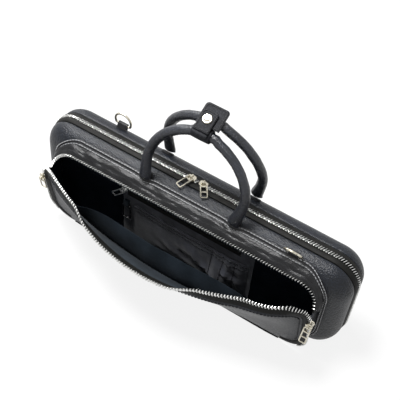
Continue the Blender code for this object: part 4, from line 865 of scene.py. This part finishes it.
def organiserFace(x, share, lift=0.0):
    # a point on the organiser, a share of the way up, lifted towards the viewer
    left, low = organiser["left"], organiser["low"]
    along = (x - left) / (organiser["right"] - left)
    full = max(min(along / 0.85, (1 - along) / 0.15), 0)
    puff = organiser["puff"] * sin(pi * (x - pens) / organiser["pen"]) ** 2 if x > pens else 0.0
    droop = organiser["droop"] * sin(pi * min(max(along / 0.7, 0), 1)) * share ** 3
    belly = sin(pi * share ** 0.8) * full
    y = -wallFace - puff * (1 - 0.6 * share) - 0.0020 * full * share - organiser["belly"] * belly
    y -= ripple((x * 0.7 + share * 0.05, 0, share * 0.05), 12, organiser["crease"], 6.0) * belly ** 0.8
    y -= ripple((x + share * 0.04, 0, share * 0.03), 6, 0.0008, 2.0) * belly
    return Vector((x, min(y, -wallFace) - lift,
                   low + (organiser["high"] + 0.0015 * along - low) * share - droop))


def makeOrganiser():
    # organiser with pen slots, a doubled hem along its mouth
    columns = evenly(organiser["left"], pens, 60)[:-1] + evenly(pens, organiser["right"], 36)
    up, thick = evenly(0, 1, 12), organiser["thick"]
    skin([sheet([organiserFace(x, t, thick + 0.0006 if t > 0.9 else thick) for t in up],
                [organiserFace(x, t) for t in up]) for x in columns],
         "organiserCloth", organiserCloth, "lid", "organiser_pocket", "pocket_cloth")
    rows = [([organiserFace(x, t, lift) for x in columns], [(0, -1, 0.2)] * len(columns))
            for t, lift in ((10.2 / 12, 0.0009), (11.5 / 12, 0.0015))]
    rows += [([organiserFace(pens + organiser["pen"] * k, t, 0.0010) for t in up], [(0, -1, 0)] * len(up))
             for k in range(3)]
    sew("organiserStitches", blackThread, "lid", rows)


slip = {"half": 0.130, "low": 0.007, "high": 0.0775, "thick": 0.0008, "sag": 0.0045, "wave": 0.0011}


def slipFace(x, share, lift):
    # a point on the slip pocket, whose upper half hangs away from the front
    part, low = x / slip["half"], slip["low"]
    folded = 1 - 0.58 * (1 - abs(part) ** 6) * max(2 * share - 1, 0)
    droop = (slip["sag"] + 0.0015 * part) * cos(pi * part / 2) ** 0.7 * share ** 2
    wave = ripple((x, 0, share * 0.06), 28, slip["wave"], 8.0) * sin(pi * share * 0.8)
    wave *= cos(pi / 2 * min(abs(part), 1)) ** 0.5
    top = slip["high"] - 0.0030 * part
    return onPanel(x, low + (top - low) * share - droop,
                   lift + wave - pocket["thick"] / 2 - gap - slip["thick"] / 2, folded)


def makeSlipPocket():
    # cloth pocket on the back of the leather front, hemmed along its sagging mouth
    half, thick, up = slip["half"], slip["thick"], evenly(0, 1, 12)
    columns = evenly(-half, half, 60)
    skin([sheet([slipFace(x, t, thick / 2) for t in up],
                [slipFace(x, t, 0.0006 * t ** 8 - thick / 2) for t in up]) for x in columns],
         "slipPocketCloth", slipCloth, "pocket_panel", "slip_pocket", "pocket_cloth")
    sew("slipPocketStitches", blackThread, "pocket_panel",
        [([slipFace(x, 10.5 / 12, -0.0006) for x in columns], [(0, 1, 0.3)] * len(columns))])


makeWallCloth()
makeInnerZip()
makeOrganiser()
makeSlipPocket()
print("pocket inside made")

handles = {"tube": 0.006, "base": 0.0078, "knuckle": 0.0052, "half": 0.061, "rise": 0.0938, "seat": 0.0225,
           "in": 0.0192, "bow": 0.0035, "arch": 1.08, "straight": 0.33, "flat": 0.0155, "tilt": radians(25),
           "apart": 0.0172, "wrinkle": 0.00016, "sway": 0.0035, "seam": 0.0006, "sides": 24,
           "ends": (0.99, 0.93, 0.8, 0.6, 0.35)}
tabs = {"half": 0.008, "up": 0.0065, "down": 0.0025, "thick": 0.0012}


def handleFoot(side):
    # middle of the tube's foot, just clear of its tabs
    place, normal = shoulderPoint(side, handles["seat"])[:2]
    return place + normal * (2 * gap + tabs["thick"] + handles["knuckle"])


def handleTop(side):
    top = handleFoot(-1) + Vector((0, handles["in"], rolled(handles["rise"], handles["in"])))
    if side > 0:
        top += Vector((0, cos(handles["tilt"]), sin(handles["tilt"]))) * handles["apart"]
    return top


def handleLine(rise):
    # (x, height) points of the arch, flat under the grip and swayed to the right
    straight, half = rise * handles["straight"], handles["half"] + handles["bow"]
    points = [(-handles["half"] - handles["bow"] * sin(pi / 2 * k / 8), straight * k / 8) for k in range(9)]
    leg = [(-x, v) for x, v in reversed(points)]
    for k in range(1, 40):
        turn = pi * k / 40
        x = -half * copysign(abs(cos(turn)) ** handles["arch"], cos(turn))
        points.append((x, straight + (rise - straight) * sin(turn) ** handles["arch"]))
    kept = []
    for x, v in points + leg:
        if abs(x) < handles["flat"] and v > rise * 0.9:
            v = rise
        kept.append((x + handles["sway"] * sin(pi / 2 * min(v / (rise / 2), 1)), v))
    return kept


def makeHandle(word, side):
    # rolled leather over a rope core, creased where it bends, with a sewn seam along its inside
    foot, tube, base, knuckle = handleFoot(side), handles["tube"], handles["base"], handles["knuckle"]
    reach = handleTop(side) - foot
    up = reach.normalized()
    across = Vector((0, up.z, -up.y))
    line = handleLine(reach.length)
    last = len(line) - 1

    def ring(x, v, flat, wide, deep, seamed=1):
        loop = []
        for i in range(handles["sides"]):
            turn = tau * i / handles["sides"]
            arm = flat * cos(turn) * wide + across * sin(turn) * deep
            spot = foot + alongX(x) + up * v + arm
            push = ripple(spot, 6, handles["wrinkle"], side) + ripple(spot, 15, handles["wrinkle"] * 0.7, 3.0)
            ridge = handles["seam"] * exp(-(min(turn, tau - turn) / 0.22) ** 2) * seamed
            loop.append(spot + arm.normalized() * (push - 0.0004 + ridge))
        return loop

    def closing(x, way):
        return [ring(x, -knuckle * share, alongX(way), base, rolled(knuckle, knuckle * share), 0)
                for share in handles["ends"]]

    loops, points, normals = closing(line[0][0], 1), [], []
    for k, (x, v) in enumerate(line):
        before, after = line[max(k - 1, 0)], line[min(k + 1, last)]
        heading = atan2(after[1] - before[1], after[0] - before[0]) - pi / 2
        if k in (0, last):
            heading = -pi * k / last
        flat = alongX(cos(heading)) + up * sin(heading)
        fromEnd = min(k, last - k)
        wide = tube + (base - tube) * max(1 - fromEnd / 9, 0) ** 1.2
        deep = tube + (knuckle - tube) * max(1 - fromEnd / 5, 0) ** 1.5
        loops.append(ring(x, v, flat, wide, deep))
        if fromEnd > 8:
            points.append(foot + alongX(x) + up * v + flat * (wide - 0.0001))
            normals.append(flat)
    loops += closing(line[-1][0], -1)[::-1]
    name, body = word + "HandleLeather", word + "_handle"
    skin(loops, name, handleLeather, body, body, "handle_leather")
    sew(name + "Stitches", blackThread, body, [(points, normals)])


def makeHandleTab(name, side, body, node, end):
    # patch sewn to the shoulder under a handle's foot
    place, normal, tangent = shoulderPoint(side, handles["seat"])
    place += alongX(end * handles["half"])

    def spot(u, t, lift):
        drop = case["shoulder"] - rolled(case["shoulder"], t)
        return place + alongX(u) + tangent * t + normal * (lift - drop)

    loops, points = [], []
    for share in evenly(-1, 1, 16):
        taper = sqrt(1 - share ** 4) * 0.85 + 0.15 if abs(share) < 1 else 0.35
        u, high = share * tabs["half"], -tabs["up"] * taper
        arc = evenly(high, tabs["down"] * taper, 8)
        loops.append(sheet([spot(u, t, tabs["thick"] + 0.0003 * sin(pi * n / 8)) for n, t in enumerate(arc)],
                           [spot(u, t, 0.0001) for t in arc]))
        if abs(share) < 0.8:
            points.append(spot(u, high + 0.0009, 0.0014))
    skin(loops, name, trimLeather, body, node, "trim_leather")
    sew(name + "Stitches", blackThread, body, [(points, [normal] * len(points))], "finePitch")


for word, side, body in (("front", -1, "lid"), ("back", 1, "case_back")):
    makeHandle(word, side)
    for end, name in ((-1, "Left"), (1, "Right")):
        makeHandleTab(word + "HandleTab" + name, side, body, word + "_handle_tab_" + name.lower(), end)
print("handles made")

grip = {"wide": 0.024, "thick": 0.0018, "flapWide": 0.019, "flapLong": 0.0245, "wing": 0.033, "root": 0.0023,
        "corner": 0.0042, "offside": 0.0030, "rootHalf": 0.0095, "snapAt": 0.78, "snap": 0.0058,
        "snapTall": 0.0024, "sleeve": (
            (-0.5, 0.35), (-0.47, 0.9), (-0.3, 1.0), (0.0, 1.06), (0.3, 1.0), (0.47, 0.9), (0.5, 0.35),
            (0.45, 0.02), (-0.45, 0.02)),
        "cap": ((1.0, 0.0), (1.03, 0.18), (1.0, 0.40), (0.92, 0.62), (0.80, 0.78), (0.74, 0.72), (0.66, 0.80),
                (0.45, 0.96), (0.2, 1.0)),
        "stud": ((0.69, 0.0), (0.69, 0.2), (0.60, 0.25), (0.3, 0.25))}
gripAlong = Vector((0, cos(handles["tilt"]), sin(handles["tilt"])))
gripNormal = Vector((0, -sin(handles["tilt"]), cos(handles["tilt"])))


def addSleeve(heap, centre):
    # leather wrapped round a handle's tube
    loops = []
    for k in range(32):
        arm = gripAlong * cos(tau * k / 32) + gripNormal * sin(tau * k / 32)
        loops.append([centre + arm * (handles["tube"] + gap + grip["thick"] * lift) + alongX(u * grip["wide"])
                      for u, lift in grip["sleeve"]])
    heap.loft(loops, ring=True)


def addLeaf(heap, centre, wide, first, last, low, high):
    # flat leaf with rounded far corners and softened edges. Gives the line of its stitches
    half, corner = wide / 2, grip["corner"]
    edge = [first + (last - corner - first) * k / 4 for k in range(4)]
    outline = [(-half, first)] + [(half, s) for s in edge]
    for side in (1, -1):
        for turn in evenly(0, pi / 2, 8)[::side]:
            outline.append((side * (half - corner + corner * cos(turn)), last - corner + corner * sin(turn)))
    outline += [(-half, s) for s in edge[:0:-1]]
    middle = (first + last) / 2

    def drawn(shrink, lift):
        return [centre + alongX(x * shrink) + gripAlong * (middle + (s - middle) * shrink) + gripNormal * lift
                for x, s in outline]

    heap.loft([drawn(0.985, low), drawn(1.0, low + (high - low) * 0.3), drawn(1.0, low + (high - low) * 0.7),
               drawn(0.97, high), drawn(0.6, high + 0.0001), drawn(0.2, high + 0.0001)])
    return drawn(0.86, high + 0.0001)


def makeGripPart(name, heap, body, node, edge=None):
    heap.make(name + "Leather", gripLeather, body, node, "handle_leather")
    if edge:
        sew(name + "Stitches", blackThread, body, [(edge, [gripNormal] * len(edge))], "finePitch", True)


def makeSnap(name, body, node, lift, profile):
    # turned part of the snap, centred on the back tube's side of the flap
    snap = handleTop(-1) + gripAlong * handles["apart"] * grip["snapAt"]
    skin([circle(snap + gripNormal * (lift + grip["snapTall"] * rise), alongX(1), gripAlong,
                 grip["snap"] * wide, 40) for wide, rise in profile],
         name, paleMetal, body, node, "pale_hardware", sharp=60)


def makeGrip():
    # snap grip: the flap's strap wraps the front tube, and the plate behind it wraps the back one
    front, tube, thick, root = handleTop(-1), handles["tube"], grip["thick"], grip["root"]
    low, high = tube + 2 * gap, tube + gap + thick
    flapLow = high + 2 * gap + 0.0006
    flapHigh = flapLow + thick
    heap = Heap()
    addSleeve(heap, front)
    centre = front - gripAlong * root * 2 + gripNormal * (flapHigh - root)
    half = grip["rootHalf"]
    heap.tube([centre + alongX(x) for x in (-half, -0.0093, -0.005, 0.0, 0.005, 0.0093, half)],
              [0.0014, 0.0021, root, root, root, 0.0021, 0.0014], sides=16)
    makeGripPart("gripSleeve", heap, "front_handle", "grip_sleeve")
    heap = Heap()
    addSleeve(heap, handleTop(1))
    edge = addLeaf(heap, front + alongX(grip["offside"]), grip["wide"] + 2 * grip["offside"], tube + gap,
                   grip["wing"], low, high)
    makeGripPart("gripSaddle", heap, "back_handle", "grip_saddle", edge)
    heap = Heap()
    edge = addLeaf(heap, front, grip["flapWide"], gap - root, grip["flapLong"], flapLow, flapHigh)
    makeGripPart("gripFlap", heap, "grip_flap", "grip_flap", edge)
    makeSnap("snapCapMetal", "grip_flap", "snap_cap", flapHigh + gap, grip["cap"])
    makeSnap("snapStudMetal", "back_handle", "snap_stud", high + gap, grip["stud"])


makeGrip()
print("grip made")

rings = {"wire": 0.0014, "radius": 0.0115, "rise": 0.0055, "tab": 0.013, "leather": 0.0012,
         "back": (-0.129, 0.0215, 0.0060), "front": (0.138, 0.0216, 0.0034)}  # x, seat, pivot's height


def makeRing(word, side, plumb, tabBody):
    # D ring in a folded leather tab
    atX, seat, stalk = rings[word]
    place, normal, tangent = shoulderPoint(side, seat)
    pivot = place + alongX(atX) + normal * stalk

    def fold(size):
        feet = [(-size * 1.15, 0.0002 - stalk), (-size * 1.02, -stalk * 0.55)]
        arc = [(-size * cos(turn), size * sin(turn)) for turn in evenly(0, pi, 14)]
        return feet + arc + [(-t, n) for t, n in reversed(feet)]

    loops, inside = [], rings["wire"] + gap
    for (outT, outN), (inT, inN) in zip(fold(inside + rings["leather"]), fold(inside)):
        strip = [(u, outT * soft, outN) for u, soft in (
            (-0.5, 0.94), (-0.47, 1), (-0.2, 1), (0.2, 1), (0.47, 1), (0.5, 0.94))]
        strip += [(u, inT, inN) for u in (0.5, 0.2, -0.2, -0.5)]
        loops.append([pivot + alongX(u * rings["tab"]) + tangent * t + normal * n for u, t, n in strip])
    skin(loops, word + "RingTabLeather", trimLeather, tabBody, word + "_ring_tab", "trim_leather")
    radius, rise = rings["radius"], rings["rise"]
    begin, chord = asin(-rise / radius), rolled(radius, rise)
    points = [(radius * cos(turn), rise + radius * sin(turn)) for turn in evenly(begin, pi - begin, 56)]
    points += [(chord * share, 0) for share in (-0.8, -0.4, 0.0, 0.4, 0.8)]
    direction = Vector((0, 0, 1)) if plumb else normal
    heap = Heap()
    heap.tube([pivot + alongX(x) + direction * v for x, v in points], rings["wire"], sides=14, closed=True)
    heap.make(word + "RingMetal", paleMetal, word + "_ring", word + "_ring", "pale_hardware", sharp=80)


makeRing("back", 1, True, "case_back")
makeRing("front", -1, False, "lid")
print("rings made")


def softenMetal(node, finish, width):
    # cast and tumbled hardware keeps its own shape, with its edges rounded off
    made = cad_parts[node]
    made.data.materials.clear()
    made.data.materials.append(finish)
    bevel = made.modifiers.new("tumbled edges", "BEVEL")
    bevel.width = width
    bevel.segments = 2
    bevel.limit_method = "ANGLE"
    bevel.angle_limit = radians(40)
    bevel.use_clamp_overlap = True


for word in ("left", "right"):
    for track in ("main", "pocket"):
        softenMetal(track + "_slider_" + word, paleMetal, 0.00022)
        softenMetal(track + "_pull_" + word, paleMetal, 0.00025)
softenMetal("inner_slider", blackNickelPaintedBright, 0.0002)
softenMetal("inner_pull", blackNickelPaintedBright, 0.00025)

insert = {"low": 0.0036, "high": 0.1317, "half": 0.2082, "corner": 0.0303, "face": 0.0022, "above": 0.003,
          "soft": 0.0016, "round": 0.0012, "columns": 150, "rows": 70, "channels": (
              (0.0, 0.1054, 0.169, 0.0165), (0.0, 0.0774, 0.165, 0.0055), (-0.076, 0.0504, 0.109, 0.0140),
              (0.115, 0.0504, 0.070, 0.0155))}  # x, z, half length and radius of each channel
lidLining = {"half": 0.2097, "low": 0.0037, "high": 0.1336, "corner": 0.0316, "middle": (0, -0.0128, 0.068),
             "section": ((0.0285, 0.012), (0.024, 0.004), (0.0195, 0.0005), (0.0160, 0.0), (0.0140, 0.0022),
                         (0.0130, 0.0060))}


def channelDepth(x, z):
    # how deep the plush is pressed in for the flute's joints, with a soft lip
    deep, soft = 0.0, insert["soft"]
    for middleX, middleZ, half, radius in insert["channels"]:
        past = max(abs(x - middleX) - (half - radius * 0.6), 0) / 0.6
        cut = rolled(radius, hypot(past, z - middleZ)) - insert["above"]
        deep = max(deep, cut, (cut + soft) ** 2 / (4 * soft) if abs(cut) < soft else 0.0)
    return deep


def makeInsert():
    # plush insert with a rounded channel for each joint
    half = insert["half"]
    loops = []
    for k in range(insert["columns"] + 1):
        x = -half * cos(pi * k / insert["columns"])
        cut = cutback(x, half, insert["corner"])
        bottom, top = insert["low"] + cut, insert["high"] - cut
        face = []
        for z in evenly(bottom, top, insert["rows"]):
            near = min(z - bottom, top - z, half - abs(x))
            edge = insert["round"] * max(1 - near / 0.003, 0) ** 2
            face.append((x, insert["face"] + channelDepth(x, z) + edge, z))
        loops.append(face + [(x * wide, y, z) for y, wide, z in (
            (0.0140, 1.0, top), (0.0200, 0.985, top - 0.0030), (0.0265, 0.950, top - 0.0100),
            (0.0265, 0.950, bottom + 0.0060), (0.0200, 0.985, bottom + 0.0020), (0.0140, 1.0, bottom))])
    skin(loops, "fluteInsertPlush", plush, "case_back", "flute_insert", "insert_plush")


def makeLidLining():
    # padded plush that presses on the joints when the case is shut
    half, low, high, corner = (lidLining[k] for k in ("half", "low", "high", "corner"))
    loops = []
    for y, inset in lidLining["section"]:
        ring = roundedRing(half - inset, low + inset, high - inset, corner - inset)
        loops.append([Vector((x, -y, z)) for x, z in ring])
    face, middle = loops[-1], Vector(lidLining["middle"])
    for share in (0.85, 0.6, 0.3, 0.1):
        ring = [middle.lerp(p, share) for p in face]
        loops.append([p + Vector((0, ripple(p, 40, 0.0003, 1.0), 0)) for p in ring])
    made = skin(loops, "lidLiningPlush", plush, "lid", "lid_lining", "insert_plush")


makeInsert()
makeLidLining()
print("insert made")

spine = {"half": 0.0092, "thick": 0.0015, "under": 0.0001, "ribbed": 0.0003, "apart": 0.009}


def makeSpine():
    # leather hinge strip along the foot
    half = case["half"] - case["corner"] - gap
    loops = []
    for x in evenly(-half, half, 60):
        outer = [Vector((x, y, spine["under"] + spine["ribbed"] * cos(pi * y / spine["apart"]) ** 8))
                 for y in evenly(-spine["half"], spine["half"], 16)]
        loops.append(sheet(outer, [p + Vector((0, 0, spine["thick"])) for p in outer]))
    made = skin(loops, "spineStripLeather", trimLeather, None, "spine_strip", "trim_leather")
    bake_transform(made)


makeSpine()

strap = {"at": -0.081, "top": 0.076, "long": 0.010, "wide": 0.007, "inner": 0.0014, "outer": 0.0022}
clip = {"half": 0.0055, "long": 0.024, "corner": 0.0014, "thick": 0.0011, "latch": (
    ((0.0030, 0, -0.018), 0.0006), ((0.0043, 0, -0.0165), 0.0011), ((0.0055, 0, -0.013), 0.0012))}


def makeKeyClip():
    # cloth strap on the back wall with a moulded clip
    pivot = Vector((strap["at"], -wallFace - strap["outer"], strap["top"]))
    half, long = strap["wide"] / 2, strap["long"]

    def path(size):
        bend = [(size * cos(turn), -size * sin(turn)) for turn in evenly(0, pi, 12)]
        return [(size, long), (size, long / 2)] + bend + [(-size, long / 2), (-size, long)]

    loops = []
    for (outY, outZ), (inY, inZ) in zip(path(strap["outer"]), path(strap["inner"])):
        spots = [(x, outY, outZ) for x in (-half, -half / 2, half / 2, half)]
        loops.append([pivot + Vector(p) for p in spots + [(half, inY, inZ), (-half, inY, inZ)]])
    skin(loops, "keyStrapCloth", slipCloth, "lid", "key_strap", "pocket_cloth")
    heap = Heap()
    ring = roundedRing(clip["half"], -clip["long"], 0.0, clip["corner"], 5, 5, 8)
    heap.tube([pivot + Vector((x, 0, z)) for x, z in ring], clip["thick"], closed=True)
    places, radii = zip(*clip["latch"])
    heap.tube([pivot + Vector(p) for p in places], radii, sides=8)
    heap.make("keyClipPlastic", clipPlastic, "key_clip", "key_clip", "clip_plastic")


makeKeyClip()
print("key clip made")

studio = {"floor": "#fafafa", "size": 4.0, "floorGlow": 0.86, "roomLight": 0.25, "lights": (
    ("softbox overhead, to the left", (-0.42, -0.10, 1.45), (0, 0, 0.1), 0.45, 32),
    ("softbox at the left end", (-1.10, 0.60, 0.9), (0, 0, 0.08), 0.5, 10))}  # place, aim, size, power
view = {"turn": 28.1, "down": 50.83, "roll": 5.79, "far": 1.0213, "aim": (0.00115, 0.0, 0.10931),
        "sensor": 36, "lens": 76.85}


def addObject(name, data):
    made = bpy.data.objects.new(name, data)
    bpy.context.scene.collection.objects.link(made)
    return made


def makeFloorSweep():
    # pale sweep that camera and mirror rays see almost white
    sweep = bpy.data.meshes.new("floor")
    half = studio["size"]
    sweep.from_pydata([(-half, -half, 0), (half, -half, 0), (half, half, 0), (-half, half, 0)], [],
                      [(0, 1, 2, 3)])
    made = addObject("floor", sweep)
    finish, tree, shader = newFinish("matt white paper sweep", {"Base Color": toLinear(studio["floor"]),
                                                                "Roughness": 0.9, "Specular IOR Level": 0.1})
    rays = addNode(tree, "LightPath").node.outputs
    seen = addNode(tree, "Math", {"operation": "MAXIMUM"},
                   {0: rays["Is Camera Ray"], 1: rays["Is Glossy Ray"]})
    share = addNode(tree, "Math", {"operation": "MULTIPLY", 1: studio["floorGlow"]}, {0: seen})
    glow = addNode(tree, "Emission", {"Color": (1, 1, 1, 1), "Strength": 1.0})
    mix = addNode(tree, "MixShader", (), {0: share, 1: shader.outputs[0], 2: glow})
    dress(tree, shader, relief=(pattern(tree, "TexNoise", 1.5, {"Detail": 3.0}), 0.05, 0.0002))
    tree.links.new(mix, tree.nodes["Material Output"].inputs[0])
    sweep.materials.append(finish)


def makeRoom():
    # a room that looks white and lights the case only a little
    world = bpy.data.worlds.new("white room")
    bpy.context.scene.world = world
    world.use_nodes = True
    tree = world.node_tree
    rays = addNode(tree, "LightPath").node.outputs
    seen = addNode(tree, "Math", {"operation": "MAXIMUM"},
                   {0: rays["Is Camera Ray"], 1: rays["Is Glossy Ray"]})
    seen = addNode(tree, "Math", {"operation": "MAXIMUM"}, {0: seen, 1: rays["Is Transmission Ray"]})
    level = addNode(tree, "MapRange", {"To Min": studio["roomLight"], "To Max": 1.0}, {"Value": seen})
    back = tree.nodes["Background"]
    tree.links.new(level, back.inputs["Strength"])
    back.inputs["Color"].default_value = (1, 1, 1, 1)


def makeLights():
    for name, place, aim, size, power in studio["lights"]:
        light = bpy.data.lights.new(name, "AREA")
        light.shape = "SQUARE"
        light.size = size
        light.energy = power
        lamp = addObject(name, light)
        lamp.location = place
        lamp.rotation_euler = (Vector(aim) - Vector(place)).to_track_quat("-Z", "Y").to_euler()


def makeCamera():
    # the photograph's angle: turned from the front, looking down, and rolled
    turn, down, roll = (radians(view[k]) for k in ("turn", "down", "roll"))
    back = Vector((sin(turn) * cos(down), -cos(turn) * cos(down), sin(down)))
    right = Vector((cos(turn), sin(turn), 0))
    up = back.cross(right)
    columns = (right * cos(roll) + up * sin(roll), up * cos(roll) - right * sin(roll), back,
               Vector(view["aim"]) + back * view["far"])
    camera = addObject("camera", bpy.data.cameras.new("camera"))
    camera.data.sensor_width = view["sensor"]
    camera.data.lens = view["lens"]
    camera.matrix_world = Matrix([[column[i] for column in columns] for i in range(3)] + [[0, 0, 0, 1]])
    bpy.context.scene.camera = camera
    bpy.context.scene.view_settings.view_transform = "Standard"


makeFloorSweep()
makeRoom()
makeLights()
makeCamera()
print("studio made")
